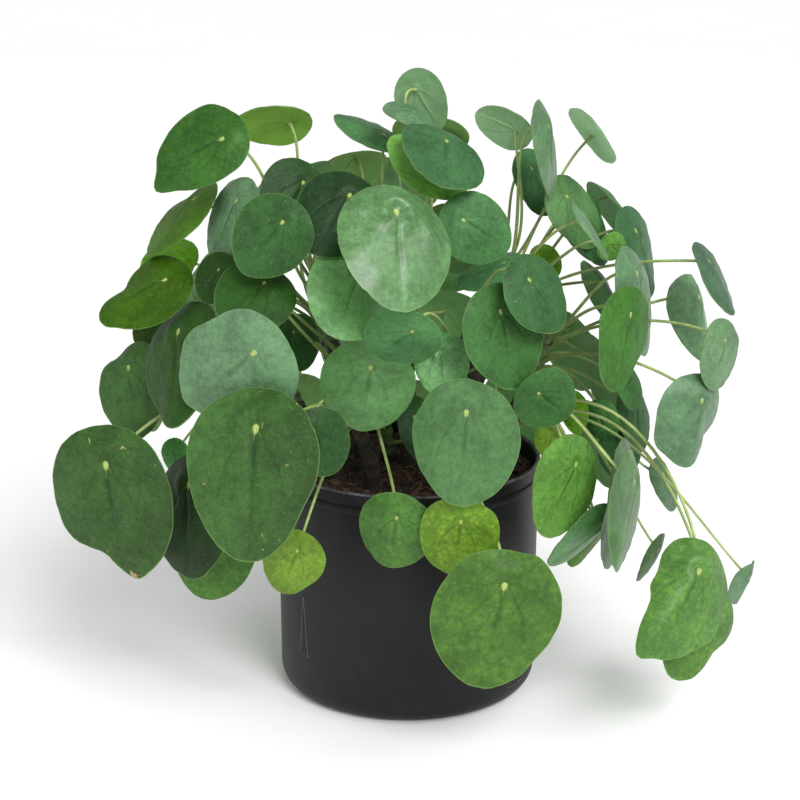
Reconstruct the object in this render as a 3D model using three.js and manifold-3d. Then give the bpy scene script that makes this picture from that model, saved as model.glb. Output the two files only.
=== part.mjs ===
// Potted Chinese money plant: a bushy round-leaved plant in a black moulded grower's pot.
// Millimetres, +Z up, origin in the middle of the pot's underside, viewer on the -Y side.

import * as THREE from "three";
import { mergeVertices } from "three/addons/utils/BufferGeometryUtils.js";
import Module from "manifold-3d";

const wasm = await Module();
wasm.setup();

function radians(degrees) {
  return (degrees * Math.PI) / 180;
}

// Pot
const POT_HEIGHT = 153;
const POT_RADIUS = 85;
const POT_FOOT_RADIUS = 83;
const POT_FOOT_FLAT = 70;
const POT_FOOT_HEIGHT = 10;
const POT_WALL = 2;
const POT_FLOOR = 3;
const LIP_HEIGHT = 9.5;
const STEP_HEIGHT = 4;
const STEP_DEPTH = 0.9;
const POT_SIDES = 36;
const DRAIN_HOLES = 5;
const DRAIN_RADIUS = 4.5;
const DRAIN_CIRCLE = 55;

// Soil
const FIT_GAP = 0.35;
const SOIL_TOP = 141;
const SOIL_RINGS = [24, 48, 66];
const SOIL_LUMP = 1.6;
const STEM_HOLE_DEPTH = 28;
const STEM_HOLE_GAP = 0.6;

// Stems
const STEM_RADIUS = 5;
const STEM_SIDES = 8;
const STEM_STEPS = 5;
const GREEN_LENGTH = 46;
const GREEN_RADIUS = 3.6;
const GREEN_SIDES = 6;

// Leaves, as shares of a blade's length unless they are named otherwise
const BLADE_BREADTH = 0.9;
const BLADE_THICKNESS = 1.1;
const MOST_BLADE_SIDES = 14;
const LEAST_BLADE_SIDES = 10;
const SIDES_PER_LENGTH = 1 / 6;
const INNER_RING = 0.55;
const CENTRE_BACK = 0.31;
const STALK_AHEAD = 4.6;
const EGG = 0.1;
const TIP_POINT = 0.02;
const DOME = 0.07;
const STALK_RADIUS = 1.7;
const STALK_SIDES = 3;
const STALK_STEPS = 5;

// The view that the leaf rows are given in: from in front, looking 17 degrees down, in a picture of
// 800 by 800 pixels
const VIEW_EYE = new THREE.Vector3(-5, -1282, 580.6);
const VIEW_PITCH = radians(17);
const VIEW_FOCAL = 2100;
const VIEW_CENTRE = 400;

// One row a leaf. middle is the pixel of the blade's centre, along the pixels from there to its tip and
// across the pixels to its side; near is how many millimetres it stands in front of the pot's axis.
// under is set where the blade shows its underside, lean is the one of its two tilts that is known, fold raises
// its midrib, and bow pushes its stalk aside by that many millimetres. The leaves behind are given by their bearing in degrees from +X towards +Y,
// their reach from the pot's axis, their height, their length, and how many degrees up they face.
const SHOOTS = [
  {
    name: "upper_left",
    foot: [-30, 0],
    crown: [-48, 2, 228],
    leaves: [
      { middle: [204, 150], along: [-45, 20], across: [10, 42], near: 52 },
      { middle: [182, 218], along: [-34, 36], across: [11, 10], near: 18 },
      { middle: [168, 262], along: [-20, 22], across: [22, 8], near: 0 },
      { middle: [274, 125], along: [-38, -2], across: [-6, 20], near: -10, under: true },
      { middle: [232, 220], along: [-20, 40], across: [18, 16], near: 40 },
      { middle: [271, 237], along: [-28, 34], across: [30, 26], near: 86, bow: [0, 0, -14] },
      { middle: [294, 198], along: [-18, 34], across: [31, 20], near: 40 },
    ],
  },
  {
    name: "upper_middle",
    foot: [0, 12],
    crown: [0, 10, 240],
    leaves: [
      { middle: [338, 215], along: [-24, 38], across: [38, 22], near: 70 },
      { middle: [368, 133], along: [-33, -16], across: [5, -11], near: -20 },
      { middle: [406, 114], along: [-22, -4], across: [-6, -12], near: 10 },
      { middle: [422, 101], along: [18, 28], across: [20, -16], near: -10, under: true },
      { middle: [443, 157], along: [-3, 27], across: [42, 20], near: 60 },
      { middle: [428, 167], along: [-3, 27], across: [41, 20], near: 40 },
      { middle: [475, 229], along: [33, 20], across: [-16, 31], near: 68 },
      { middle: [395, 247], along: [6, 62], across: [56, 5], near: 119, lean: -1 },
    ],
  },
  {
    name: "upper_right",
    foot: [32, 5],
    crown: [48, 5, 230],
    leaves: [
      { middle: [504, 127], along: [-27, -14], across: [-8, 17], near: 0, under: true },
      { middle: [545, 150], along: [6, 50], across: [10, 4], near: 22 },
      { middle: [535, 182], along: [14, 32], across: [16, -10], near: -32 },
      { middle: [573, 212], along: [20, 34], across: [18, -14], near: -5 },
      { middle: [590, 228], along: [14, 36], across: [14, -8], near: -20 },
      { middle: [590, 231], along: [18, 28], across: [3, -2], near: 42 },
      { middle: [593, 135], along: [7, -7], across: [22, 27], near: -12, under: true },
      { middle: [636, 252], along: [14, 44], across: [14, -14], near: -10 },
      { middle: [612, 247], along: [10, 8], across: [-10, 12], near: 20, bow: [0, -14, 0] },
      { middle: [714, 278], along: [19, 36], across: [8, -6], near: 36, bow: [0, 18, 4] },
    ],
  },
  {
    name: "left",
    foot: [-45, -18],
    crown: [-68, -22, 190],
    leaves: [
      { middle: [146, 293], along: [-46, 20], across: [10, 31], near: 45 },
      { middle: [158, 322], along: [-22, 20], across: [14, 16], near: 5 },
      { middle: [237, 367], along: [-42, 36], across: [42, 46], near: 120 },
      { middle: [181, 364], along: [-6, 62], across: [37, -14], near: 70 },
      { middle: [134, 390], along: [4, 48], across: [34, -8], near: 28 },
      { middle: [115, 502], along: [8, 76], across: [60, 6], near: 75, fold: -0.1 },
      { middle: [194, 515], along: [-4, 62], across: [38, 6], near: 80 },
      { middle: [214, 556], along: [-10, 42], across: [39, 10], near: 60 },
      { middle: [176, 456], along: [2, 18], across: [14, 0], near: 30 },
    ],
  },
  {
    name: "front_left",
    foot: [-22, -36],
    crown: [-34, -44, 195],
    leaves: [
      { middle: [254, 473], along: [-8, 86], across: [67, 8], near: 152, fold: -0.1, bow: [0, 0, -14] },
      { middle: [254, 298], along: [-23, 30], across: [34, 20], near: 82 },
      { middle: [216, 278], along: [-12, 24], across: [18, 10], near: 60 },
      { middle: [297, 342], along: [6, 28], across: [22, -6], near: 18 },
      { middle: [318, 442], along: [14, 32], across: [30, -14], near: 110 },
      { middle: [351, 295], along: [-14, 42], across: [43, 18], near: 95 },
      { middle: [367, 386], along: [-8, 44], across: [47, 8], near: 85 },
    ],
  },
  {
    name: "front_right",
    foot: [20, -34],
    crown: [28, -42, 200],
    leaves: [
      { middle: [536, 295], along: [26, 32], across: [-19, 24], near: 100, bow: [0, 0, 24] },
      { middle: [504, 336], along: [12, 52], across: [38, -10], near: 104 },
      { middle: [442, 364], along: [0, 32], across: [28, 0], near: 88 },
      { middle: [402, 337], along: [-26, 20], across: [30, 20], near: 120 },
      { middle: [418, 428], along: [2, 32], across: [20, 2], near: 85 },
      { middle: [465, 442], along: [-6, 62], across: [54, 10], near: 135 },
      { middle: [546, 399], along: [22, 18], across: [-22, 24], near: 105 },
      { middle: [492, 272], along: [-34, 12], across: [4, 14], near: 40 },
    ],
  },
  {
    name: "right",
    foot: [50, -8],
    crown: [76, -8, 200],
    leaves: [
      { middle: [634, 300], along: [10, 54], across: [16, -6], near: 44 },
      { middle: [623, 338], along: [-9, 52], across: [25, 4], near: 72 },
      { middle: [694, 320], along: [8, 44], across: [19, 8], near: -3, fold: 0.3, bow: [24, 0, 0] },
      { middle: [719, 354], along: [-8, 35], across: [17, 8], near: 60 },
      { middle: [690, 419], along: [-8, 46], across: [30, 2], near: 68, fold: 0.25 },
      { middle: [664, 484], along: [10, 26], across: [9, -6], near: -20 },
      { middle: [602, 420], along: [8, 20], across: [16, -6], near: 26 },
      { middle: [634, 418], along: [6, 34], across: [15, -4], near: 0 },
      { middle: [628, 385], along: [4, 24], across: [14, 4], near: 20 },
      { middle: [546, 262], along: [4, 18], across: [16, 0], near: -26 },
    ],
  },
  {
    name: "lower_right",
    foot: [44, -38],
    crown: [60, -50, 180],
    leaves: [
      { middle: [678, 598], along: [-26, 56], across: [44, 26], near: 100, fold: 0.25, bow: [24, 0, 24] },
      { middle: [697, 632], along: [-24, 44], across: [27, 22], near: 82, bow: [24, 0, 24] },
      { middle: [742, 582], along: [-8, 20], across: [10, -8], near: 14, fold: 0.3, bow: [0, -10, -6] },
      { middle: [651, 557], along: [-13, 24], across: [5, 2], near: 20 },
      { middle: [624, 510], along: [-8, 60], across: [13, 8], near: 100 },
      { middle: [617, 503], along: [-10, 64], across: [10, 4], near: 60 },
      { middle: [564, 486], along: [-20, 48], across: [26, 18], near: 100 },
      { middle: [581, 535], along: [-31, 30], across: [8, 9], near: 82 },
      { middle: [588, 535], along: [-18, 30], across: [10, 8], near: 34 },
      { middle: [575, 412], along: [2, 22], across: [14, 0], near: 34 },
      { middle: [550, 440], along: [-2, 18], across: [16, 2], near: 60 },
      { middle: [620, 452], along: [2, 26], across: [22, -4], near: 3, bow: [0, 0, -12] },
    ],
  },
  {
    name: "back_left",
    foot: [-30, 34],
    crown: [-52, 56, 205],
    leaves: [
      { bearing: 116, reach: 90, height: 318, size: 58, facing: 45 },
      { bearing: 146, reach: 88, height: 316, size: 56, facing: 45 },
      { bearing: 130, reach: 130, height: 296, size: 70, facing: 35 },
      { bearing: 150, reach: 130, height: 270, size: 58, facing: 32 },
      { bearing: 140, reach: 168, height: 240, size: 68, facing: 25 },
      { bearing: 165, reach: 158, height: 245, size: 60, facing: 22 },
      { bearing: 141, reach: 168, height: 186, size: 72, facing: 15 },
      { bearing: 165, reach: 166, height: 185, size: 62, facing: 15 },
      { bearing: 120, reach: 160, height: 132, size: 70, facing: 8 },
      { bearing: 141, reach: 156, height: 120, size: 60, facing: 6 },
    ],
  },
  {
    name: "back_middle",
    foot: [0, 50],
    crown: [0, 78, 190],
    leaves: [
      { bearing: 78, reach: 72, height: 346, size: 56, facing: 52 },
      { bearing: 94, reach: 128, height: 298, size: 70, facing: 38 },
      { bearing: 80, reach: 158, height: 248, size: 70, facing: 25 },
      { bearing: 104, reach: 160, height: 240, size: 64, facing: 25 },
      { bearing: 81, reach: 172, height: 186, size: 74, facing: 15 },
      { bearing: 101, reach: 168, height: 178, size: 66, facing: 12 },
      { bearing: 90, reach: 162, height: 122, size: 68, facing: 6 },
      { bearing: 110, reach: 142, height: 82, size: 60, facing: 0 },
      { middle: [440, 162], along: [2, 30], across: [30, 4], near: -76, under: true },
      { middle: [452, 238], along: [4, 34], across: [32, 2], near: -106, under: true },
    ],
  },
  {
    name: "back_right",
    foot: [30, 32],
    crown: [54, 52, 205],
    leaves: [
      { bearing: 20, reach: 142, height: 298, size: 56, facing: 35 },
      { bearing: 16, reach: 132, height: 244, size: 60, facing: 25 },
      { bearing: 22, reach: 138, height: 190, size: 60, facing: 16 },
      { bearing: 42, reach: 150, height: 194, size: 62, facing: 18 },
      { bearing: 32, reach: 158, height: 130, size: 62, facing: 10 },
      { bearing: 60, reach: 158, height: 136, size: 68, facing: 8 },
      { bearing: 62, reach: 140, height: 80, size: 60, facing: 0 },
      { middle: [516, 322], along: [10, 42], across: [36, -8], near: -126, under: true },
      { middle: [582, 226], along: [16, 34], across: [18, -8], near: -94, under: true },
    ],
  },
  {
    name: "low_front",
    foot: [-12, 20],
    crown: [-13, 12, 150],
    leaves: [
      { middle: [396, 530], along: [-6, 36], across: [37, 10], near: 110, bow: [-20, 0, 6] },
      { middle: [459, 537], along: [-6, 38], across: [39, 8], near: 126 },
      { middle: [495, 618], along: [-16, 68], across: [64, 8], near: 150, bow: [12, 0, 0] },
      { middle: [293, 562], along: [-12, 30], across: [29, 14], near: 110, bow: [-8, -4, 14] },
    ],
  },
];

const GREEN = new THREE.MeshStandardMaterial({ color: 0x4d8a45, roughness: 0.45, metalness: 0 });
const BROWN = new THREE.MeshStandardMaterial({ color: 0x6b5a3e, roughness: 0.9, metalness: 0 });
const BLACK = new THREE.MeshStandardMaterial({ color: 0x2c2c30, roughness: 0.7, metalness: 0 });
const EARTH = new THREE.MeshStandardMaterial({ color: 0x32211a, roughness: 1, metalness: 0 });

// A number from 0 to 1 that looks random, and is always the same for a seed
function scatter(seed) {
  const value = Math.sin(seed * 12.9898 + 4.137) * 43758.5453;
  return value - Math.floor(value);
}

// A geometry as a closed solid, and back to a mesh
function toSolid(geometry) {
  geometry.deleteAttribute("normal");
  geometry.deleteAttribute("uv");
  const merged = mergeVertices(geometry, 1e-4);
  const corners = merged.index.array;
  const kept = [];
  for (let i = 0; i < corners.length; i += 3) {
    const [a, b, c] = [corners[i], corners[i + 1], corners[i + 2]];
    if (a !== b && b !== c && c !== a) kept.push(a, b, c);
  }
  const mesh = new wasm.Mesh({
    numProp: 3,
    vertProperties: Float32Array.from(merged.attributes.position.array),
    triVerts: Uint32Array.from(kept),
  });
  return new wasm.Manifold(mesh);
}

function toMesh(solid, name, material) {
  const { vertProperties, triVerts } = solid.getMesh();
  const geometry = new THREE.BufferGeometry();
  geometry.setAttribute("position", new THREE.BufferAttribute(vertProperties, 3));
  geometry.setIndex(new THREE.BufferAttribute(triVerts, 1));
  geometry.computeVertexNormals();
  const mesh = new THREE.Mesh(geometry, material);
  mesh.name = name;
  return mesh;
}

function regularShape(radius, sides) {
  const corners = [];
  for (let i = 0; i < sides; i += 1) {
    const angle = (i / sides) * Math.PI * 2;
    corners.push(new THREE.Vector2(radius * Math.cos(angle), radius * Math.sin(angle)));
  }
  return new THREE.Shape(corners);
}

function tube(path, radius, sides, steps) {
  const options = { steps, extrudePath: path, bevelEnabled: false };
  return toSolid(new THREE.ExtrudeGeometry(regularShape(radius, sides), options));
}

// A turned shape about the Z axis from a list of [radius, height]
function turned(profile, sides) {
  const points = profile.map(([radius, height]) => new THREE.Vector2(radius, height));
  const geometry = new THREE.LatheGeometry(points, sides);
  geometry.rotateX(Math.PI / 2);
  return geometry;
}

// Pot

const stepBottom = POT_HEIGHT - LIP_HEIGHT - STEP_HEIGHT;
const innerFoot = POT_FOOT_RADIUS - POT_WALL;
const innerRim = POT_RADIUS - POT_WALL - STEP_DEPTH;

function makePot() {
  const profile = [
    [0, 0],
    [POT_FOOT_FLAT, 0],
    [79, 3],
    [POT_FOOT_RADIUS, POT_FOOT_HEIGHT],
    [POT_RADIUS - STEP_DEPTH, stepBottom],
    [POT_RADIUS, stepBottom + 1],
    [POT_RADIUS, stepBottom + STEP_HEIGHT],
    [POT_RADIUS - STEP_DEPTH, stepBottom + STEP_HEIGHT + 1],
    [POT_RADIUS - STEP_DEPTH, POT_HEIGHT - 1.5],
    [POT_RADIUS, POT_HEIGHT],
    [innerRim, POT_HEIGHT],
    [innerFoot, POT_FOOT_HEIGHT + POT_FLOOR],
    [POT_FOOT_FLAT, POT_FLOOR],
    [0, POT_FLOOR],
  ];
  let pot = toSolid(turned(profile, POT_SIDES));
  for (let i = 0; i < DRAIN_HOLES; i += 1) {
    const angle = (i / DRAIN_HOLES) * Math.PI * 2 + 0.3;
    const drill = new THREE.CylinderGeometry(DRAIN_RADIUS, DRAIN_RADIUS, POT_FLOOR * 4, 8);
    drill.rotateX(Math.PI / 2);
    drill.translate(DRAIN_CIRCLE * Math.cos(angle), DRAIN_CIRCLE * Math.sin(angle), 0);
    pot = pot.subtract(toSolid(drill));
  }
  return toMesh(pot, "pot", BLACK);
}

// Soil: fills the pot, lumpy on top, with a plain hole for each stem

function makeSoil() {
  const edge = innerRim - FIT_GAP;
  const profile = [
    [0, POT_FLOOR + FIT_GAP],
    [POT_FOOT_FLAT - FIT_GAP, POT_FLOOR + FIT_GAP],
    [innerFoot - FIT_GAP, POT_FOOT_HEIGHT + POT_FLOOR + FIT_GAP],
    [edge, SOIL_TOP],
    ...[...SOIL_RINGS].reverse().map((radius) => [radius, SOIL_TOP]),
    [0, SOIL_TOP],
  ];
  const geometry = turned(profile, POT_SIDES / 2);
  const { position } = geometry.attributes;
  for (let i = 0; i < position.count; i += 1) {
    const [x, y, z] = [position.getX(i), position.getY(i), position.getZ(i)];
    const inside = Math.hypot(x, y) < edge - 1;
    if (inside && z > SOIL_TOP - 1) {
      const lump = Math.sin(x * 0.13 + 1) * Math.cos(y * 0.11) + 0.5 * Math.sin(x * 0.31 + y * 0.27);
      position.setZ(i, SOIL_TOP + SOIL_LUMP * lump);
    }
  }
  let soil = toSolid(geometry);
  const radius = STEM_RADIUS + STEM_HOLE_GAP;
  for (const { foot } of SHOOTS) {
    const drill = new THREE.CylinderGeometry(radius, radius, STEM_HOLE_DEPTH * 2, STEM_SIDES);
    drill.rotateX(Math.PI / 2);
    drill.translate(foot[0], foot[1], SOIL_TOP);
    soil = soil.subtract(toSolid(drill));
  }
  return toMesh(soil, "soil", EARTH);
}

// Stems

function stemEnds(shoot) {
  const foot = new THREE.Vector3(shoot.foot[0], shoot.foot[1], SOIL_TOP - STEM_HOLE_DEPTH + FIT_GAP);
  const crown = new THREE.Vector3(...shoot.crown);
  const heading = crown.clone().sub(foot);
  heading.x *= 1.4;
  heading.y *= 1.4;
  heading.normalize();
  const top = crown.clone().addScaledVector(heading, GREEN_LENGTH);
  return { foot, crown, heading, top };
}

// Upright in its hole, then bending over to the crown
function stemPath(shoot) {
  const { foot, crown, heading } = stemEnds(shoot);
  const ground = foot.clone().setZ(SOIL_TOP + SOIL_LUMP * 2);
  const reach = crown.distanceTo(ground) * 0.4;
  const above = ground.clone().setZ(ground.z + reach);
  const below = crown.clone().addScaledVector(heading, -reach);
  const path = new THREE.CurvePath();
  path.add(new THREE.LineCurve3(foot, ground));
  path.add(new THREE.CubicBezierCurve3(ground, above, below, crown));
  return path;
}

function makeStem(shoot) {
  const stem = tube(stemPath(shoot), STEM_RADIUS, STEM_SIDES, STEM_STEPS);
  return toMesh(stem, `stem_${shoot.name}`, BROWN);
}

function greenTop(shoot) {
  const { crown, heading, top } = stemEnds(shoot);
  const start = crown.clone().addScaledVector(heading, FIT_GAP);
  return tube(new THREE.LineCurve3(start, top), GREEN_RADIUS, GREEN_SIDES, 1);
}

// Leaves

const RIGHT = new THREE.Vector3(1, 0, 0);
const FORWARD = new THREE.Vector3(0, Math.cos(VIEW_PITCH), -Math.sin(VIEW_PITCH));
const UP = new THREE.Vector3().crossVectors(RIGHT, FORWARD);

function sightLine(pixel) {
  const across = (pixel[0] - VIEW_CENTRE) / VIEW_FOCAL;
  const down = (pixel[1] - VIEW_CENTRE) / VIEW_FOCAL;
  return FORWARD.clone().addScaledVector(RIGHT, across).addScaledVector(UP, -down);
}

// The place of a leaf behind
function placeBehind({ bearing, reach, height, size, facing }) {
  const outward = new THREE.Vector3(Math.cos(radians(bearing)), Math.sin(radians(bearing)), 0);
  const middle = outward.clone().multiplyScalar(reach).setZ(height);
  const normal = outward.clone().multiplyScalar(Math.cos(radians(facing))).setZ(Math.sin(radians(facing)));
  const down = new THREE.Vector3(0, 0, -1);
  const ey = down.addScaledVector(normal, -down.dot(normal)).normalize();
  ey.applyAxisAngle(normal, radians(30 * scatter(bearing * height) - 15));
  const ex = new THREE.Vector3().crossVectors(ey, normal);
  return { middle, length: size, breadth: size * BLADE_BREADTH, ex, ey, normal };
}

// The blade's place from its row: its middle, its length, and unit vectors across it, along it to the
// tip and out of its top face. Of the two poses that look alike, the one with its back to the crown
// is taken.
function placeBlade(leaf, crown) {
  const line = sightLine(leaf.middle);
  const distance = (-leaf.near - VIEW_EYE.y) / line.y;
  const middle = VIEW_EYE.clone().addScaledVector(line, distance);
  const away = line.clone().normalize();
  const scale = distance / VIEW_FOCAL;
  const seen = ([x, y]) => {
    const vector = RIGHT.clone().multiplyScalar(x * scale * 2).addScaledVector(UP, -y * scale * 2);
    return vector.addScaledVector(away, -vector.dot(away));
  };
  const along = seen(leaf.along);
  const across = seen(leaf.across);
  const breadth = leaf.breadth ?? BLADE_BREADTH;
  const a = along.lengthSq();
  const b = across.lengthSq();
  const c = along.dot(across);
  const r2 = breadth * breadth;
  const sum = b + a * r2;
  const square = (sum + Math.sqrt(Math.max(0, sum * sum - 4 * r2 * (a * b - c * c)))) / (2 * r2);
  const depthAlong = Math.sqrt(Math.max(1e-6, square - a));
  const depthAcross = -c / depthAlong;
  const length = Math.sqrt(square);
  const toHub = middle.clone().sub(crown);
  const poses = [1, -1].map((lean) => {
    const ey = along.clone().addScaledVector(away, lean * depthAlong).normalize();
    const ex = across.clone().addScaledVector(away, lean * depthAcross);
    ex.addScaledVector(ey, -ex.dot(ey)).normalize();
    const normal = new THREE.Vector3().crossVectors(ex, ey);
    const showsTop = normal.dot(away) < 0;
    if (showsTop === Boolean(leaf.under)) {
      ex.negate();
      normal.negate();
    }
    return { middle, length, breadth: length * breadth, ex, ey, normal, lean };
  });
  if (leaf.lean) return poses.find((pose) => pose.lean === leaf.lean);
  return poses[0].normal.dot(toHub) >= poses[1].normal.dot(toHub) ? poses[0] : poses[1];
}

// A point of the blade's top face, at a turn from the tip and a reach from the centre that its folds
// run out from
function bladePoint(pose, leaf, turn, reach) {
  const { middle, length, breadth, ex, ey, normal } = pose;
  const tip = TIP_POINT * Math.max(0, Math.cos(turn)) ** 8;
  const rimU = 0.5 * breadth * Math.sin(turn) * (1 - EGG * Math.cos(turn));
  const rimV = length * (0.5 * Math.cos(turn) + tip);
  const u = rimU * reach;
  const centre = -CENTRE_BACK * length;
  const v = centre + (rimV - centre) * reach;
  const seed = middle.x + middle.z * 3;
  const dome = DOME * (0.6 + 0.8 * scatter(seed));
  const wave = 0.012 * Math.sin(3 * turn + scatter(seed + 1) * 6) * reach * reach;
  const fold = (leaf.fold ?? 0) * (breadth / 4 - Math.abs(u));
  const height = length * (dome * (1 - reach * reach) + wave) + fold;
  return middle.clone().addScaledVector(ex, u).addScaledVector(ey, v).addScaledVector(normal, height);
}

function makeBlade(pose, leaf) {
  const wanted = 2 * Math.round((pose.length * SIDES_PER_LENGTH) / 2);
  const sides = Math.min(MOST_BLADE_SIDES, Math.max(LEAST_BLADE_SIDES, wanted));
  const half = sides / 2;
  const top = [bladePoint(pose, leaf, 0, 0)];
  for (let i = 0; i < half; i += 1) {
    top.push(bladePoint(pose, leaf, ((i + 0.5) / half) * Math.PI * 2, INNER_RING));
  }
  for (let i = 0; i < sides; i += 1) {
    top.push(bladePoint(pose, leaf, (i / sides) * Math.PI * 2, 1));
  }
  const under = top.map((point) => point.clone().addScaledVector(pose.normal, -BLADE_THICKNESS));
  const face = [];
  const inner = (i) => 1 + (i % half);
  const rim = (i) => 1 + half + (i % sides);
  for (let i = 0; i < half; i += 1) {
    face.push([0, inner(i + 1), inner(i)]);
    face.push([inner(i), rim(2 * i + 1), rim(2 * i)]);
    face.push([inner(i), rim(2 * i + 2), rim(2 * i + 1)]);
    face.push([inner(i), inner(i + 1), rim(2 * i + 2)]);
  }
  const count = top.length;
  const corners = [];
  for (const [a, b, c] of face) {
    corners.push(a, b, c);
    corners.push(a + count, c + count, b + count);
  }
  for (let i = 0; i < sides; i += 1) {
    const [a, b] = [rim(i), rim(i + 1)];
    corners.push(a, b, b + count);
    corners.push(a, b + count, a + count);
  }
  const geometry = new THREE.BufferGeometry();
  geometry.setFromPoints([...top, ...under]);
  geometry.setIndex(corners);
  return toSolid(geometry);
}

// The stalk leaves the green top outwards and upwards and meets the blade's back at the hub, which is
// just ahead of the blade's centre
function stalkPath(pose, leaf, shoot, share) {
  const { crown, heading } = stemEnds(shoot);
  const ahead = STALK_AHEAD / (pose.length * (0.5 + CENTRE_BACK));
  const hub = bladePoint(pose, leaf, 0, ahead).addScaledVector(pose.normal, -BLADE_THICKNESS * 0.7);
  const start = crown.clone().addScaledVector(heading, GREEN_LENGTH * (0.12 + 0.8 * share));
  const outward = hub.clone().sub(start).setZ(0).normalize();
  start.addScaledVector(outward, GREEN_RADIUS * 0.5);
  const span = hub.distanceTo(start);
  const rise = hub.z > start.z ? 0.9 : 0.6;
  const leave = outward.addScaledVector(new THREE.Vector3(0, 0, 1), rise).normalize();
  const arrive = pose.normal.clone().multiplyScalar(0.85).addScaledVector(pose.ey, 0.35).normalize();
  const first = start.clone().addScaledVector(leave, span * 0.38);
  const second = hub.clone().addScaledVector(arrive, -span * 0.3);
  const bow = new THREE.Vector3(...(leaf.bow ?? [0, 0, 0]));
  first.add(bow);
  second.addScaledVector(bow, 0.6);
  return new THREE.CubicBezierCurve3(start, first, second, hub);
}

function leafPieces(shoot) {
  const { top } = stemEnds(shoot);
  const placed = shoot.leaves.map((leaf) => {
    return { leaf, pose: leaf.middle ? placeBlade(leaf, top) : placeBehind(leaf) };
  });
  placed.sort((one, other) => one.pose.middle.z - other.pose.middle.z);
  return placed.map(({ leaf, pose }, order) => {
    const share = placed.length > 1 ? order / (placed.length - 1) : 0.5;
    const stalk = tube(stalkPath(pose, leaf, shoot, share), STALK_RADIUS, STALK_SIDES, STALK_STEPS);
    return { leaf, pose, blade: makeBlade(pose, leaf), stalk };
  });
}

function makeShoot(shoot) {
  let body = greenTop(shoot);
  for (const { blade, stalk } of leafPieces(shoot)) {
    body = body.add(stalk).add(blade);
  }
  return toMesh(body, `shoot_${shoot.name}`, GREEN);
}

const plant = new THREE.Group();
plant.add(makePot(), makeSoil());
for (const shoot of SHOOTS) {
  plant.add(makeStem(shoot), makeShoot(shoot));
}

export default plant;
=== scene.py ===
"""A Chinese money plant in a black moulded grower's pot, dressed round its construction model.

Run as a script it makes every piece through its operator. Lengths are in metres, except in the rows of
leaves and in the functions that place them, which are in millimetres.
"""

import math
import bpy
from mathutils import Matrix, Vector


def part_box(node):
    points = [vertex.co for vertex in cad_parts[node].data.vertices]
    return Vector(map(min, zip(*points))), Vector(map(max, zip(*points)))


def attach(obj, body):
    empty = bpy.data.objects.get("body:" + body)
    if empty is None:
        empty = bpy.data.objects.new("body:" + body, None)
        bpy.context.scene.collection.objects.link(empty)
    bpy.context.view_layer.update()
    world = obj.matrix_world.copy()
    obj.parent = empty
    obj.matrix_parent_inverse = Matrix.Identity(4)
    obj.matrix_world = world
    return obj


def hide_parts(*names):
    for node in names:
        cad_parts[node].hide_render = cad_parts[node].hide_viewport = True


bl_info = {
    "name": "Potted Chinese Money Plant",
    "version": (1, 0, 0),
    "blender": (4, 5, 0),
    "location": "3D View > Sidebar > Money Plant",
    "description": "A round-leaved house plant with its soil and its moulded pot",
    "category": "Add Mesh",
}

from functools import wraps

import bmesh
import bpy
from bpy.props import FloatProperty, FloatVectorProperty, IntProperty, PointerProperty
from bpy.types import Operator, Panel, PropertyGroup
from mathutils import Matrix, Vector, noise

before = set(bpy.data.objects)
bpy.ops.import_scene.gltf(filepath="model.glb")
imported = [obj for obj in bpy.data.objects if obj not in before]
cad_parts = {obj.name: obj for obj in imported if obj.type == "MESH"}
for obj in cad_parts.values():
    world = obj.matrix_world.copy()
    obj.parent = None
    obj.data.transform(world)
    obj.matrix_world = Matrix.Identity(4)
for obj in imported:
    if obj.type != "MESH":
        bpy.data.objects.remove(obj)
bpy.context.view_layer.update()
MM = 0.001
NOISE_SEED = 1

# The pot and the soil in it
RIM_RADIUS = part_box("pot")[1].x
RIM_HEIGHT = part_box("pot")[1].z
WALL_INSET = 0.0009
FOOT_RADIUS = 0.083
WARP_HEIGHT = 0.0011
WARP_DEPTH = 0.02
WARP_SIDE = math.radians(42)
WARP_WIDTH = 0.30
LIP_UNEVENNESS = 0.0003
DRAIN_HOLES = 5
DRAIN_RADIUS = 0.0045
DRAIN_CIRCLE = 0.055
DRAIN_TURN = 0.3
FINE_LINE = 0.00022
SOIL_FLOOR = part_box("soil")[0].z
SOIL_TOP_MM = 141
SOIL_LEVEL = SOIL_TOP_MM * MM
SOIL_RISE_MM = 3.2
SOIL_GAP = 0.0003
SOIL_LUMPS = ((22, 3.1, 0.0012), (140, 7.7, 0.0010), (420, 1.3, 0.0006))
HOLE_DEPTH_MM = 28
FIT_GAP_MM = 0.35

# The view that the leaf rows are given in: from in front, looking 17 degrees down, in a picture of
# 800 by 800 pixels. The camera stands there too.
VIEW_EYE = Vector((-5, -1282, 580.6))
VIEW_PITCH = math.radians(17)
VIEW_FOCAL = 2100
VIEW_CENTRE = 400
VIEW_RIGHT = Vector((1, 0, 0))
VIEW_FORWARD = Vector((0, math.cos(VIEW_PITCH), -math.sin(VIEW_PITCH)))
VIEW_UP = VIEW_RIGHT.cross(VIEW_FORWARD)
SENSOR_WIDTH = 36

# Blades, as shares of their length where no unit is named. Each of the rim's waves is a share of the
# radius and how close its crests are.
BREADTH = 0.9
CENTRE_BACK = 0.31
EGG = 0.1
TIP_POINT = 0.02
DOME_LEAST = 0.6 * 0.07
DOME_MORE = 0.8 * 0.07
WAVE = 0.012
RIM_WAVES = ((0.018, 1.7), (0.011, 5.3), (0.006, 9.1))
BACK_SWING = math.radians(30)
MIDRIB_WIDTH = 0.022
HUB_RING = 0.11
HUB_WIDTH = 0.045
STALK_AHEAD_MM = 4.6
BLADE_THICKNESS_MM = 1.1

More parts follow.
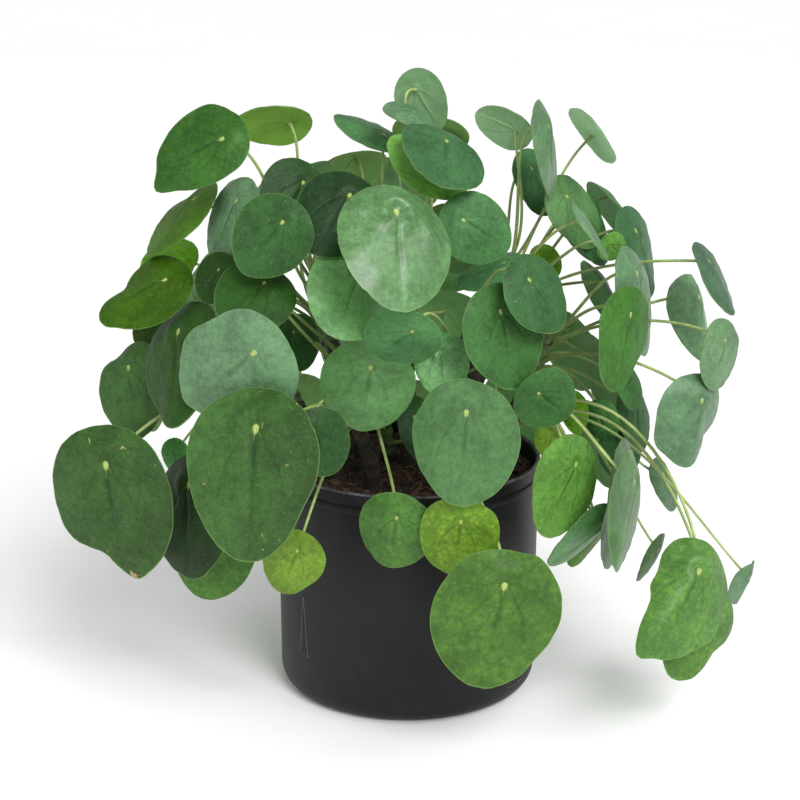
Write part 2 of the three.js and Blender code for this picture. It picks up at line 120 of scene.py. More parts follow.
# What a row says when it leaves a value out
USUAL_QUILT = 0.15
USUAL_GLOSS = 0.05
SHINY_GLOSS = 0.35
SHINY_TONES = ("hazy", "pale", "soft")

# Stems and stalks. The shares are of the green top's length, and of the stalk's span.
STEM_LEAN = 1.4
STEM_PULL = 0.4
GREEN_LENGTH_MM = 46
GREEN_RADIUS_MM = 3.6
LOWEST_STALK = 0.12
STALK_SPREAD = 0.8
STALK_PULL_OUT = 0.38
STALK_PULL_IN = 0.3
RISE_TO_LEAF = 0.9
DROP_TO_LEAF = 0.6


def behind(bearing, reach, height, size, facing, tone, **extra):
    """A leaf on the far side, by its bearing from +X, its reach from the axis, its height and its size."""
    place = dict(bearing=bearing, reach=reach, height=height, facing=facing)
    return dict(**place, size=size, tone=tone, **extra)


def leaf(middle, along, across, near, tone, **extra):
    """A leaf by its pixels: its middle, from there to its tip and to its side, and how near it stands."""
    return dict(middle=middle, along=along, across=across, near=near, tone=tone, **extra)


# One entry a leafy stem, with its foot, its crown and its leaves. A leaf's tone names its green, shade
# how light it is, gloss its shine, quilt how much it swells between its veins, mottled how yellow it is
# there, scars how marked it is, and darker how much darker its right half is than its left. shade is set
# leaf by leaf partly as painted light and shade, lighter where a leaf is lit and darker where it is in
# shade, and darker is painted shade over the right half. under is set where it shows its underside, lean
# where the one of its two tilts is known, fold raises its midrib, and bow pushes its stalk aside. dents
# push its rim in or out: each is degrees from the tip, a share of the radius, and how many degrees it
# takes up.
SHOOTS = {
    "upper_left": dict(foot=(-30, 0), crown=(-48, 2, 228), leaves=[
        leaf((204, 150), (-45, 20), (10, 42), 52, "fresh", shade=0.55, mottled=0.4, quilt=0.3,
             dents=((338, 0.27, 14), (262, -0.19, 46), (140, -0.08, 30))),
        leaf((182, 218), (-34, 36), (11, 10), 18, "sunny", shade=0.75, gloss=0.0,
             dents=((120, -0.25, 28),)),
        leaf((168, 262), (-20, 22), (22, 8), 0, "sunny", shade=1.6),
        leaf((274, 125), (-38, -2), (-6, 20), -10, "sunny", shade=0.85, under=True),
        leaf((232, 220), (-20, 40), (18, 16), 40, "hazy"),
        leaf((271, 237), (-28, 34), (30, 26), 86, "mid", shade=0.62, bow=(0, 0, -14)),
        leaf((294, 198), (-18, 34), (31, 20), 40, "mid", shade=0.42, gloss=0.0),
    ]),
    "upper_middle": dict(foot=(0, 12), crown=(0, 10, 240), leaves=[
        leaf((338, 215), (-24, 38), (38, 22), 70, "mid", shade=0.30, gloss=0.0),
        leaf((368, 133), (-33, -16), (5, -11), -20, "cool", shade=1.1),
        leaf((406, 114), (-22, -4), (-6, -12), 10, "hazy", shade=0.9),
        leaf((422, 101), (18, 28), (20, -16), -10, "pale", shade=0.6, under=True),
        leaf((443, 157), (-3, 27), (42, 20), 60, "cool", shade=0.88),
        leaf((428, 167), (-3, 27), (41, 20), 40, "bright", shade=2.2),
        leaf((475, 229), (33, 20), (-16, 31), 68, "cool", shade=1.1),
        leaf((395, 247), (6, 62), (56, 5), 119, "soft", shade=0.9, gloss=1.0, quilt=1.6, lean=-1),
    ]),
    "upper_right": dict(foot=(32, 5), crown=(48, 5, 230), leaves=[
        leaf((504, 127), (-27, -14), (-8, 17), 0, "hazy", under=True),
        leaf((545, 150), (6, 50), (10, 4), 22, "hazy", shade=0.8),
        leaf((535, 182), (14, 32), (16, -10), -32, "cool"),
        leaf((573, 212), (20, 34), (18, -14), -5, "soft", shade=0.82, gloss=0.1),
        leaf((590, 228), (14, 36), (14, -8), -20, "cool", shade=1.2),
        leaf((590, 231), (18, 28), (3, -2), 42, "hazy"),
        leaf((593, 135), (7, -7), (22, 27), -12, "hazy", shade=1.7, under=True),
        leaf((636, 252), (14, 44), (14, -14), -10, "cool", shade=0.87),
        leaf((612, 247), (10, 8), (-10, 12), 20, "bright", shade=1.35, bow=(0, -14, 0)),
        leaf((714, 278), (19, 36), (8, -6), 36, "pale", shade=0.6, bow=(0, 18, 4)),
    ]),
    "left": dict(foot=(-45, -18), crown=(-68, -22, 190), leaves=[
        leaf((146, 293), (-46, 20), (10, 31), 45, "sunny", shade=0.45, gloss=0.0,
             dents=((50, -0.40, 32), (90, -0.15, 20), (336, 0.08, 16))),
        leaf((158, 322), (-22, 20), (14, 16), 5, "sunny", shade=0.33),
        leaf((237, 367), (-42, 36), (42, 46), 120, "hazy", shade=0.93, scars=0.3,
             dents=((108, -0.14, 26), (10, 0.09, 26))),
        leaf((181, 364), (-6, 62), (37, -14), 70, "fresh", shade=0.36, gloss=0.0,
             dents=((48, -0.15, 30),)),
        leaf((134, 390), (4, 48), (34, -8), 28, "deep", shade=1.05, dents=((155, -0.15, 20),)),
        leaf((115, 502), (8, 76), (60, 6), 75, "deep", shade=0.8, darker=0.1, scars=1.0, quilt=0.4,
             fold=-0.1, dents=((22, -0.26, 26), (345, 0.06, 12))),
        # Painted shade: a low shade, as this leaf lies in the shadow of the leaves in front of it.
        leaf((194, 515), (-4, 62), (38, 6), 80, "deep", shade=0.38, dents=((45, 0.08, 25),)),
        leaf((214, 556), (-10, 42), (39, 10), 60, "bright", shade=0.8, mottled=0.7),
        leaf((176, 456), (2, 18), (14, 0), 30, "mid", shade=2.3),
    ]),
    "front_left": dict(foot=(-22, -36), crown=(-34, -44, 195), leaves=[
        leaf((254, 473), (-8, 86), (67, 8), 152, "deep", shade=0.9, darker=0.32, scars=1.0, quilt=0.4,
             fold=-0.1, bow=(0, 0, -14), dents=((292, -0.13, 28),)),
        leaf((254, 298), (-23, 30), (34, 20), 82, "fresh", shade=0.4),
        leaf((216, 278), (-12, 24), (18, 10), 60, "fresh", shade=0.25, gloss=0.0),
        leaf((297, 342), (6, 28), (22, -6), 18, "mid", shade=0.65),
        leaf((318, 442), (14, 32), (30, -14), 110, "mid", shade=0.5),
        leaf((351, 295), (-14, 42), (43, 18), 95, "soft", shade=1.35, gloss=0.6, quilt=0.4),
        leaf((367, 386), (-8, 44), (47, 8), 85, "soft", shade=1.2),
    ]),
    "front_right": dict(foot=(20, -34), crown=(28, -42, 200), leaves=[
        leaf((536, 295), (26, 32), (-19, 24), 100, "cool", shade=0.7, bow=(0, 0, 24)),
        leaf((504, 336), (12, 52), (38, -10), 104, "mid", shade=0.8),
        leaf((442, 364), (0, 32), (28, 0), 88, "soft", shade=1.7, gloss=1.0, quilt=1.4),
        leaf((402, 337), (-26, 20), (30, 20), 120, "cool", shade=1.25, dents=((225, -0.05, 20),)),
        leaf((418, 428), (2, 32), (20, 2), 85, "mid", shade=0.48),
        leaf((465, 442), (-6, 62), (54, 10), 135, "soft", shade=0.78, dents=((120, -0.06, 20),)),
        leaf((546, 399), (22, 18), (-22, 24), 105, "mid", shade=0.8),
        leaf((492, 272), (-34, 12), (4, 14), 40, "cool", shade=1.35),
    ]),
    "right": dict(foot=(50, -8), crown=(76, -8, 200), leaves=[
        leaf((634, 300), (10, 54), (16, -6), 44, "hazy", shade=0.9),
        leaf((623, 338), (-9, 52), (25, 4), 72, "fresh", shade=0.68,
             dents=((302, -0.18, 24), (80, -0.08, 20))),
        leaf((694, 320), (8, 44), (19, 8), -3, "hazy", fold=0.3, bow=(24, 0, 0)),
        leaf((719, 354), (-8, 35), (17, 8), 60, "hazy", shade=0.86),
        leaf((690, 419), (-8, 46), (30, 2), 68, "hazy", shade=0.78, fold=0.25,
             dents=((300, -0.27, 24), (58, 0.12, 16), (215, 0.08, 18))),
        leaf((664, 484), (10, 26), (9, -6), -20, "hazy", shade=0.6),
        leaf((602, 420), (8, 20), (16, -6), 26, "mid", shade=1.3),
        leaf((634, 418), (6, 34), (15, -4), 0, "mid", shade=0.76),
        leaf((628, 385), (4, 24), (14, 4), 20, "mid"),
        leaf((546, 262), (4, 18), (16, 0), -26, "lime", shade=1.7),
    ]),
    "lower_right": dict(foot=(44, -38), crown=(60, -50, 180), leaves=[
        leaf((678, 598), (-26, 56), (44, 26), 100, "bright", shade=0.92, gloss=0.3, mottled=0.9,
             quilt=0.4, fold=0.25, bow=(24, 0, 24),
             dents=((62, -0.38, 28), (108, -0.40, 30), (16, 0.18, 12), (285, 0.06, 12))),
        leaf((697, 632), (-24, 44), (27, 22), 82, "bright", shade=0.9, mottled=0.9, quilt=0.4,
             bow=(24, 0, 24), dents=((283, -0.28, 28),)),
        leaf((742, 582), (-8, 20), (10, -8), 14, "hazy", shade=0.8, fold=0.3, bow=(0, -10, -6)),
        leaf((651, 557), (-13, 24), (5, 2), 20, "deep", shade=0.8),
        leaf((624, 510), (-8, 60), (13, 8), 100, "soft", shade=0.7),
        leaf((617, 503), (-10, 64), (10, 4), 60, "soft", shade=0.75),
        leaf((564, 486), (-20, 48), (26, 18), 100, "bright", shade=1.1, mottled=0.4, quilt=0.4),
        leaf((581, 535), (-31, 30), (8, 9), 82, "soft", shade=1.15),
        leaf((588, 535), (-18, 30), (10, 8), 34, "sunny", shade=1.1),
        leaf((575, 412), (2, 22), (14, 0), 34, "sunny", shade=1.75),
        leaf((550, 440), (-2, 18), (16, 2), 60, "lime"),
        leaf((620, 452), (2, 26), (22, -4), 3, "cool", shade=0.9, bow=(0, 0, -12)),
    ]),
    "back_left": dict(foot=(-30, 34), crown=(-52, 56, 205), leaves=[
        behind(116, 90, 318, 58, 45, "bright"),
        behind(146, 88, 316, 56, 45, "mid"),
        behind(130, 130, 296, 70, 35, "cool", gloss=0.6, quilt=0.6),
        behind(150, 130, 270, 58, 32, "mid"),
        behind(140, 168, 240, 68, 25, "mid"),
        behind(165, 158, 245, 60, 22, "cool"),
        behind(141, 168, 186, 72, 15, "mid"),
        behind(165, 166, 185, 62, 15, "bright"),
        behind(120, 160, 132, 70, 8, "deep", scars=0.6),
        behind(141, 156, 120, 60, 6, "lime"),
    ]),
    "back_middle": dict(foot=(0, 50), crown=(0, 78, 190), leaves=[
        behind(78, 72, 346, 56, 52, "bright"),
        behind(94, 128, 298, 70, 38, "cool", gloss=0.8, quilt=0.8),
        behind(80, 158, 248, 70, 25, "mid"),
        behind(104, 160, 240, 64, 25, "mid"),
        behind(81, 172, 186, 74, 15, "mid", scars=0.4),
        behind(101, 168, 178, 66, 12, "cool"),
        behind(90, 162, 122, 68, 6, "deep"),
        behind(110, 142, 82, 60, 0, "sunny"),
        # These two, deep inside the plant, get a low shade as painted shade.
        leaf((440, 162), (2, 30), (30, 4), -76, "mid", shade=0.5, under=True),
        leaf((452, 238), (4, 34), (32, 2), -106, "mid", shade=0.4, under=True),
    ]),
    "back_right": dict(foot=(30, 32), crown=(54, 52, 205), leaves=[
        behind(20, 142, 298, 56, 35, "cool"),
        behind(16, 132, 244, 60, 25, "cool"),
        behind(22, 138, 190, 60, 16, "mid"),
        behind(42, 150, 194, 62, 18, "mid"),
        behind(32, 158, 130, 62, 10, "mid"),
        behind(60, 158, 136, 68, 8, "mid", quilt=0.5),
        behind(62, 140, 80, 60, 0, "sunny"),
        # These two, deep inside the plant, get a low shade as painted shade.
        leaf((516, 322), (10, 42), (36, -8), -126, "mid", shade=0.4, under=True),
        leaf((582, 226), (16, 34), (18, -8), -94, "cool", shade=0.5, under=True),
    ]),
    "low_front": dict(foot=(-12, 20), crown=(-13, 12, 150), leaves=[
        leaf((396, 530), (-6, 36), (37, 10), 110, "bright", shade=0.84, mottled=0.5, gloss=0.1, quilt=0.3,
             bow=(-20, 0, 6)),
        leaf((459, 537), (-6, 38), (39, 8), 126, "lime", shade=0.78, mottled=1.0, quilt=0.5,
             dents=((45, 0.06, 20), (225, 0.06, 20))),
        leaf((495, 618), (-16, 68), (64, 8), 150, "bright", shade=0.7, mottled=0.7, quilt=0.4,
             bow=(12, 0, 0), dents=((205, 0.03, 10), (118, -0.03, 14), (300, -0.03, 16))),
        leaf((293, 562), (-12, 30), (29, 14), 110, "lime", shade=0.74, mottled=0.4, gloss=0.3, quilt=0.2,
             bow=(-8, -4, 14), dents=((300, -0.12, 28),)),
    ]),
}


def count_property(label, words, value, low, high):
    """A whole number with a name and a description for the panel."""
    return IntProperty(name=label, description=words, default=value, min=low, max=high)


def length_property(label, words, value):
    """A length with a name and a description for the panel."""
    return FloatProperty(name=label, description=words, default=value, subtype="DISTANCE")


def colour_property(label, words, value):
    """A colour with a name and a description for the panel."""
    return FloatVectorProperty(
        name=label, description=words, default=value, size=3, min=0, max=1, subtype="COLOR"
    )


class PlantSizes(PropertyGroup):
    """Sizes of the pieces."""

    blade_rings: count_property("Blade Rings", "Rings of faces from a blade's hub to its rim", 13, 4, 20)
    blade_sides: count_property("Blade Sides", "Faces round a blade's rim", 64, 12, 96)
    blade_thickness: length_property("Blade Thickness", "Thickness of a leaf blade", 0.0007)
    stalk_radius: length_property("Stalk Radius", "Radius of a leaf stalk half way along", 0.00105)
    stem_radius: length_property("Stem Radius", "Radius of a woody stem", 0.0050)
    pot_wall: length_property("Pot Wall", "Thickness of the pot's wall", 0.0020)
    pot_sides: count_property("Pot Sides", "Faces round the pot and the soil", 128, 24, 256)
    crumbs: count_property("Soil Crumbs", "Loose crumbs on the soil", 2100, 0, 2400)
    fibres: count_property("Soil Fibres", "Loose fibres on the soil", 160, 0, 600)


class PlantColours(PropertyGroup):
    """Colours of the leaves, stems, soil and pot."""

    mid: colour_property("Mid Green", "Most of the leaves", (0.040, 0.131, 0.032))
    # Partly painted sheen: its bluish cast stands in for a faint sheen on the leaves.
    cool: colour_property("Cool Green", "Bluish leaves", (0.041, 0.127, 0.041))
    bright: colour_property("Bright Green", "Fresh leaves", (0.070, 0.175, 0.030))
    sunny: colour_property("Sunny Green", "Leaves with the light behind them", (0.064, 0.176, 0.007))
    fresh: colour_property("Fresh Green", "Clear green leaves", (0.053, 0.175, 0.023))
    # Partly painted sheen: greyer than the plain greens, it stands in for part of a leaf's shine.
    soft: colour_property("Soft Green", "Leaves with a soft shine", (0.076, 0.189, 0.060))
    lime: colour_property("Lime Green", "Young or ageing leaves", (0.140, 0.268, 0.023))
    # Partly painted sheen: a pale bluish green that stands in for the sheen on leaves seen edge on.
    pale: colour_property("Pale Green", "Leaves seen edge on", (0.062, 0.158, 0.068))
    deep: colour_property("Deep Green", "Old leaves", (0.038, 0.100, 0.022))
    # Painted sheen: a paler grey green that stands in for the white reflection on shiny leaves.
    hazy: colour_property("Hazy Green", "Shiny leaves that mirror the light", (0.097, 0.198, 0.090))
    # Partly the paler back itself, partly painted light shining through the leaf.
    underside: colour_property("Underside", "Backs of the leaves", (0.250, 0.470, 0.150))
    hub: colour_property("Hub", "Pale spot where the stalk joins", (0.420, 0.520, 0.150))
    margin: colour_property("Margin", "Thin pale edge of a leaf", (0.160, 0.290, 0.070))
    scar: colour_property("Scar", "Healed marks on old leaves", (0.330, 0.250, 0.120))
    stalk: colour_property("Stalk", "Leaf stalks", (0.310, 0.410, 0.130))
    # Kept dark partly as painted shade, for stem tops deep inside the plant.
    young_stem: colour_property("Young Stem", "Green top of a stem", (0.070, 0.115, 0.034))
    # Brown bark made darker as painted shade, for stems deep under the leaves.
    bark: colour_property("Bark", "Woody stems", (0.028, 0.021, 0.013))
    soil: colour_property("Soil", "Potting mix", (0.025, 0.013, 0.009))
    crumb: colour_property("Crumb", "Bark and fibres in the soil", (0.068, 0.032, 0.021))
    pot: colour_property("Pot", "Moulded plastic", (0.0058, 0.0058, 0.0066))
    moulding: colour_property("Moulding", "Fine lines left by the mould", (0.100, 0.085, 0.070))
    floor: colour_property("Floor", "Ground that the pot stands on", (0.98, 0.98, 0.98))


# Small tools


def colour(name):
    """One of the plant's colours."""
    return tuple(getattr(bpy.context.scene.plant_colours, name))


def scatter(seed):
    """A number from 0 to 1 that looks random, and is always the same for a seed."""
    value = math.sin(seed * 12.9898 + 4.137) * 43758.5453
    return value - math.floor(value)


def swell(value, width):
    """A smooth hump of height 1 at 0, gone a few widths away."""
    return math.exp(-((value / width) ** 2))


def polar(radius, angle):
    """How far a point lies across and along, by its radius and angle."""
    return radius * math.cos(angle), radius * math.sin(angle)


def deselect():
    bpy.ops.object.select_all(action="DESELECT")


def make_active(piece):
    """Only this piece is selected, and it is the active one."""
    deselect()
    piece.select_set(True)
    bpy.context.view_layer.objects.active = piece


def place_in_scene(name, data):
    """A new object in the scene."""
    piece = bpy.data.objects.new(name, data)
    bpy.context.scene.collection.objects.link(piece)
    return piece


def apply_modifiers(piece):
    make_active(piece)
    for modifier in list(piece.modifiers):
        bpy.ops.object.modifier_apply(modifier=modifier.name)


def join(pieces, name):
    """Several pieces as one, under a new name."""
    joined = pieces[0]
    make_active(joined)
    for piece in pieces:
        piece.select_set(True)
    bpy.ops.object.join()
    joined.name = name
    joined.data.name = name
    return joined


def settle(piece, slot_name, *nodes):
    """The piece rides with the plant and may stand for CAD nodes. Its slot name is not used."""
    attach(piece, "root")
    if nodes:
        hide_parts(*nodes)


def give(piece, *materials):
    """The piece gets these materials, in this order."""
    piece.data.materials.clear()
    for finish in materials:
        piece.data.materials.append(finish)


def smooth(piece, degrees):
    make_active(piece)
    bpy.ops.object.shade_smooth_by_angle(angle=math.radians(degrees))


def mark(mesh, label, values):
    """A value of its own for each point, that a material can read."""
    mesh.attributes.new(label, "FLOAT", "POINT").data.foreach_set("value", values)


# Nodes

VECTOR = "NodeSocketVector"
COLOUR = "NodeSocketColor"
NUMBER = "NodeSocketFloat"


class Sheet:
    """A node tree with short ways to add, set and link nodes. Each way returns the node's output."""

    def __init__(self, tree):
        self.tree = tree

    def put(self, socket, value):
        """Links a socket to another, or sets it. A colour of three parts gets its alpha."""
        if isinstance(value, bpy.types.NodeSocket):
            self.tree.links.new(value, socket)
        elif isinstance(value, tuple) and len(value) == 3 and len(socket.default_value) == 4:
            socket.default_value = (*value, 1)
        else:
            socket.default_value = value

    def add(self, kind, inputs=None, **settings):
        """The new node itself, with its settings and inputs."""
        node = self.tree.nodes.new(kind)
        for key, value in settings.items():
            setattr(node, key, value)
        for key, value in (inputs or {}).items():
            self.put(node.inputs[key], value)
        return node

    def math(self, operation, *values):
        node = self.add("ShaderNodeMath", operation=operation)
        for socket, value in zip(node.inputs, values):
            self.put(socket, value)
        return node.outputs[0]

    def plus(self, first, second):
        return self.math("ADD", first, second)

    def minus(self, first, second):
        return self.math("SUBTRACT", first, second)

    def times(self, first, second):
        return self.math("MULTIPLY", first, second)

    def line(self, value, slope, start):
        """The value times a slope, on top of a start."""
        return self.math("MULTIPLY_ADD", value, slope, start)

    def distance(self, across, along):
        """How far a point is from the middle."""
        return self.math("SQRT", self.plus(self.times(across, across), self.times(along, along)))

    def ramp(self, value, low, high, at_low=0.0, at_high=1.0):
        """The value carried smoothly from one range to another."""
        node = self.add(
            "ShaderNodeMapRange",
            {"Value": value, "From Min": low, "From Max": high, "To Min": at_low, "To Max": at_high},
            interpolation_type="SMOOTHSTEP",
        )
        return node.outputs["Result"]

    def fade(self, value, low, high):
        """Full up to the low end, and nothing from the high end on."""
        return self.ramp(value, low, high, 1.0, 0.0)

    def mix(self, share, first, second, blend="MIX"):
        """So much of the second colour over the first."""
        node = self.add("ShaderNodeMix", data_type="RGBA", blend_type=blend, clamp_factor=True)
        for socket, value in ((0, share), (6, first), (7, second)):
            self.put(node.inputs[socket], value)
        return node.outputs[2]

    def tinted(self, base, tint):
        """One colour times another."""
        return self.mix(1.0, base, tint, "MULTIPLY")

    def over(self, base, cover, mask, strength):
        """A colour over the base where the mask is, so strong."""
        return self.mix(self.times(mask, strength), base, cover)

    def noise(self, vector, scale, detail, roughness=0.55, distortion=0.0):
        texture = {"Vector": vector, "Scale": scale, "Detail": detail}
        texture.update({"Roughness": roughness, "Distortion": distortion})
        return self.add("ShaderNodeTexNoise", texture).outputs[0]

    def cells(self, vector, scale, feature="F1"):
        node = self.add("ShaderNodeTexVoronoi", {"Vector": vector, "Scale": scale}, feature=feature)
        return node.outputs["Distance"]

    def stretched(self, vector, scale):
        return self.add("ShaderNodeMapping", {"Vector": vector, "Scale": scale}).outputs[0]

    def attribute(self, name, output="Fac"):
        return self.add("ShaderNodeAttribute", attribute_name=name).outputs[output]

    def bump(self, height, depth):
        return self.add("ShaderNodeBump", {"Height": height, "Distance": depth, "Strength": 1.0}).outputs[0]

    def group(self, tree, **inputs):
        """All outputs of a shader group that is placed with its own values."""
        return self.add("ShaderNodeGroup", inputs, node_tree=tree).outputs

    def mottle(self, vector, base, scale, strength):
        return self.group(group_mottle(), Vector=vector, Color=base, Scale=scale, Strength=strength)

    def grain(self, vector, scale):
        return self.group(group_grain(), Vector=vector, Scale=scale)

    def veins(self, width):
        own_map = self.add("ShaderNodeUVMap", uv_map="leaf").outputs[0]
        return self.group(group_veins(), Map=own_map, Width=width)


def shader_group(name, inputs, outputs):
    """Makes a function that fills a group into one that returns the group, built once."""

    def around(fill):
        @wraps(fill)
        def made():
            tree = bpy.data.node_groups.get(name)
            if tree:
                return tree
            tree = bpy.data.node_groups.new(name, "ShaderNodeTree")
            for way, sockets in (("INPUT", inputs), ("OUTPUT", outputs)):
                for label, kind in sockets.items():
                    tree.interface.new_socket(name=label, in_out=way, socket_type=kind)
            sheet = Sheet(tree)
            results = fill(sheet, sheet.add("NodeGroupInput").outputs)
            sheet.add("NodeGroupOutput", results)
            return tree

        return made

    return around


@shader_group(
    "mottle",
    {"Vector": VECTOR, "Color": COLOUR, "Scale": NUMBER, "Strength": NUMBER},
    {"Color": COLOUR, "Patches": NUMBER},
)
def group_mottle(sheet, entry):
    """Soft light and dark patches over a colour, at two sizes."""
    broad = sheet.noise(entry["Vector"], entry["Scale"], 2.0)
    fine = sheet.noise(entry["Vector"], sheet.times(entry["Scale"], 5.0), 4.0, roughness=0.65)
    patches = sheet.ramp(sheet.plus(sheet.times(broad, 0.5), sheet.times(fine, 0.5)), 0.34, 0.66)
    factor = sheet.line(sheet.minus(patches, 0.5), entry["Strength"], 1.0)
    lit = sheet.add("ShaderNodeVectorMath", {0: entry["Color"], "Scale": factor}, operation="SCALE")
    return {"Color": lit.outputs[0], "Patches": patches}


@shader_group("grain", {"Vector": VECTOR, "Scale": NUMBER}, {"Height": NUMBER, "Value": NUMBER})
def group_grain(sheet, entry):
    """A fine grain as a height, from two sizes of noise."""
    coarse = sheet.noise(entry["Vector"], entry["Scale"], 3.0, roughness=0.6)
    fine = sheet.noise(entry["Vector"], sheet.times(entry["Scale"], 3.7), 2.0, roughness=0.5)
    height = sheet.plus(sheet.times(coarse, 0.7), sheet.times(fine, 0.3))
    return {"Height": height, "Value": sheet.ramp(coarse, 0.3, 0.7)}


VEIN_ANGLE = math.radians(47)
VEIN_PARTS = ("Lines", "Grooves", "Network", "Cells", "Relief", "Hub", "Streaks")


@shader_group("leaf veins", {"Map": VECTOR, "Width": NUMBER}, dict.fromkeys(VEIN_PARTS, NUMBER))
def group_veins(sheet, entry):
    """Main veins that run out from the hub and bend to the tip, the network between them, and the hub.

    It reads the blade's own map, in blade lengths, with the hub in the middle and the tip upwards.
    """
    own_map = entry["Map"]
    width = entry["Width"]
    centred = sheet.add("ShaderNodeVectorMath", {0: own_map, 1: (0.5, 0.5, 0.0)}, operation="SUBTRACT")
    across, along, _ = sheet.add("ShaderNodeSeparateXYZ", {0: centred.outputs[0]}).outputs
    radius = sheet.distance(across, along)
    angle = sheet.math("ARCTAN2", across, along)
    straight = sheet.math("DIVIDE", angle, sheet.line(radius, -0.95, 1.06))
    shifted = sheet.plus(sheet.math("DIVIDE", straight, VEIN_ANGLE), 0.5)
    from_line = sheet.math("ABSOLUTE", sheet.minus(sheet.math("FRACT", shifted), 0.5))
    rank = sheet.math("FLOOR", shifted)
    weight = sheet.math("DIVIDE", 1.0, sheet.line(sheet.times(rank, rank), 0.55, 1.0))
    wobble = sheet.minus(sheet.noise(own_map, 5.0, 2.0), 0.5)
    distance = sheet.times(sheet.times(sheet.line(wobble, 0.14, from_line), VEIN_ANGLE), radius)
    thin = sheet.times(sheet.fade(distance, sheet.times(width, 0.35), width), weight)
    broad = sheet.times(sheet.fade(distance, 0.0, sheet.times(width, 6.0)), weight)
    jitter = sheet.times(sheet.noise(own_map, 14.0, 3.0), 0.08)
    roughened = sheet.add("ShaderNodeVectorMath", {0: own_map, 1: jitter}, operation="ADD")
    cells = sheet.cells(roughened.outputs[0], 13.0, "DISTANCE_TO_EDGE")
    drawn_out = sheet.times(along, sheet.ramp(along, -0.01, 0.01, 1.0, 0.55))
    return {
        "Lines": sheet.times(thin, sheet.fade(radius, 0.12, 0.50)),
        "Grooves": sheet.times(broad, sheet.ramp(radius, 0.20, 0.62, 1.0, 0.15)),
        "Network": sheet.fade(cells, 0.0, 0.12),
        "Cells": sheet.ramp(cells, 0.0, 0.5),
        "Relief": sheet.noise(own_map, 6.0, 2.5, roughness=0.5, distortion=0.7),
        "Hub": sheet.fade(sheet.distance(across, drawn_out), 0.012, 0.027),
        "Streaks": sheet.times(sheet.times(thin, weight), sheet.fade(radius, 0.03, 0.11)),
    }


# Materials


def material(name):
    """Makes a function that works out a shader's inputs into one that returns its material, made once."""

    def around(dress):
        @wraps(dress)
        def made():
            finish = bpy.data.materials.get(name)
            if finish:
                return finish
            finish = bpy.data.materials.new(name)
            finish.use_nodes = True
            finish.node_tree.nodes.clear()
            sheet = Sheet(finish.node_tree)
            place = sheet.add("ShaderNodeTexCoord").outputs["Object"]
            shader = sheet.add("ShaderNodeBsdfPrincipled", dress(sheet, place))
            sheet.add("ShaderNodeOutputMaterial", {"Surface": shader.outputs[0]})
            return finish

        return made

    return around


@material("leaf top")
def material_leaf_top(sheet, place):
    """The glossy upper face: mottled green, dark grooves, a pale hub, and scars where the leaf is old."""
    veins = sheet.veins(0.0065)
    gloss = sheet.attribute("gloss")
    quilt = sheet.attribute("quilt")
    old = sheet.attribute("scars")
    mottled = sheet.attribute("mottled")
    green = sheet.mottle(place, sheet.attribute("tone", "Color"), scale=55.0, strength=0.52)
    base = green["Color"]
    glow = sheet.tinted(base, (1.60, 1.30, 0.85))
    blotches = sheet.times(veins["Cells"], sheet.ramp(green["Patches"], 0.2, 0.8, 0.1, 0.9))
    base = sheet.over(base, glow, blotches, sheet.line(mottled, 0.75, 0.10))
    dark = sheet.tinted(base, (0.50, 0.62, 0.58))
    veined = sheet.line(sheet.plus(mottled, old), 0.32, 0.36)
    for part, strength in (("Grooves", 0.8), ("Lines", 0.9), ("Network", 0.38)):
        base = sheet.over(base, dark, veins[part], sheet.times(veined, strength))
    dusty = sheet.tinted(base, (1.55, 1.38, 1.60))
    stipple = sheet.ramp(sheet.noise(place, 850.0, 3.0, roughness=0.7), 0.44, 0.64)
    base = sheet.over(base, dusty, stipple, 0.48)
    base = sheet.over(base, colour("hub"), veins["Streaks"], 0.3)
    base = sheet.over(base, colour("hub"), veins["Hub"], 0.9)
    edge = sheet.ramp(sheet.attribute("reach"), 0.982, 1.0)
    base = sheet.over(base, colour("margin"), edge, 0.55)
    drawn = sheet.stretched(place, (1.0, 1.0, 0.6))
    marks = sheet.noise(drawn, 115.0, 3.0, roughness=0.6, distortion=0.9)
    healed = sheet.times(sheet.ramp(marks, 0.690, 0.708), old)
    base = sheet.mix(healed, base, colour("scar"))
    dots = sheet.fade(sheet.cells(place, 380.0), 0.10, 0.24)
    specks = sheet.times(dots, sheet.ramp(sheet.noise(place, 120.0, 1.0), 0.50, 0.60))
    base = sheet.over(base, (0.28, 0.40, 0.24), specks, 0.20)
    grain = sheet.grain(place, 900.0)
    dull = sheet.line(gloss, -0.13, sheet.line(grain["Value"], 0.08, 0.40))
    height = sheet.times(veins["Cells"], sheet.line(quilt, 0.12, 0.05))
    height = sheet.line(veins["Relief"], sheet.times(quilt, 2.6), height)
    height = sheet.line(veins["Grooves"], -0.40, height)
    height = sheet.line(veins["Lines"], -0.30, height)
    height = sheet.line(veins["Hub"], 0.5, height)
    height = sheet.line(grain["Height"], 0.20, height)
    return {
        "Base Color": base,
        "Roughness": sheet.line(healed, 0.35, dull),
        "Specular IOR Level": 0.14,
        "Coat Weight": sheet.times(gloss, 0.6),
        "Coat Roughness": 0.30,
        "Normal": sheet.bump(height, 0.0009),
    }


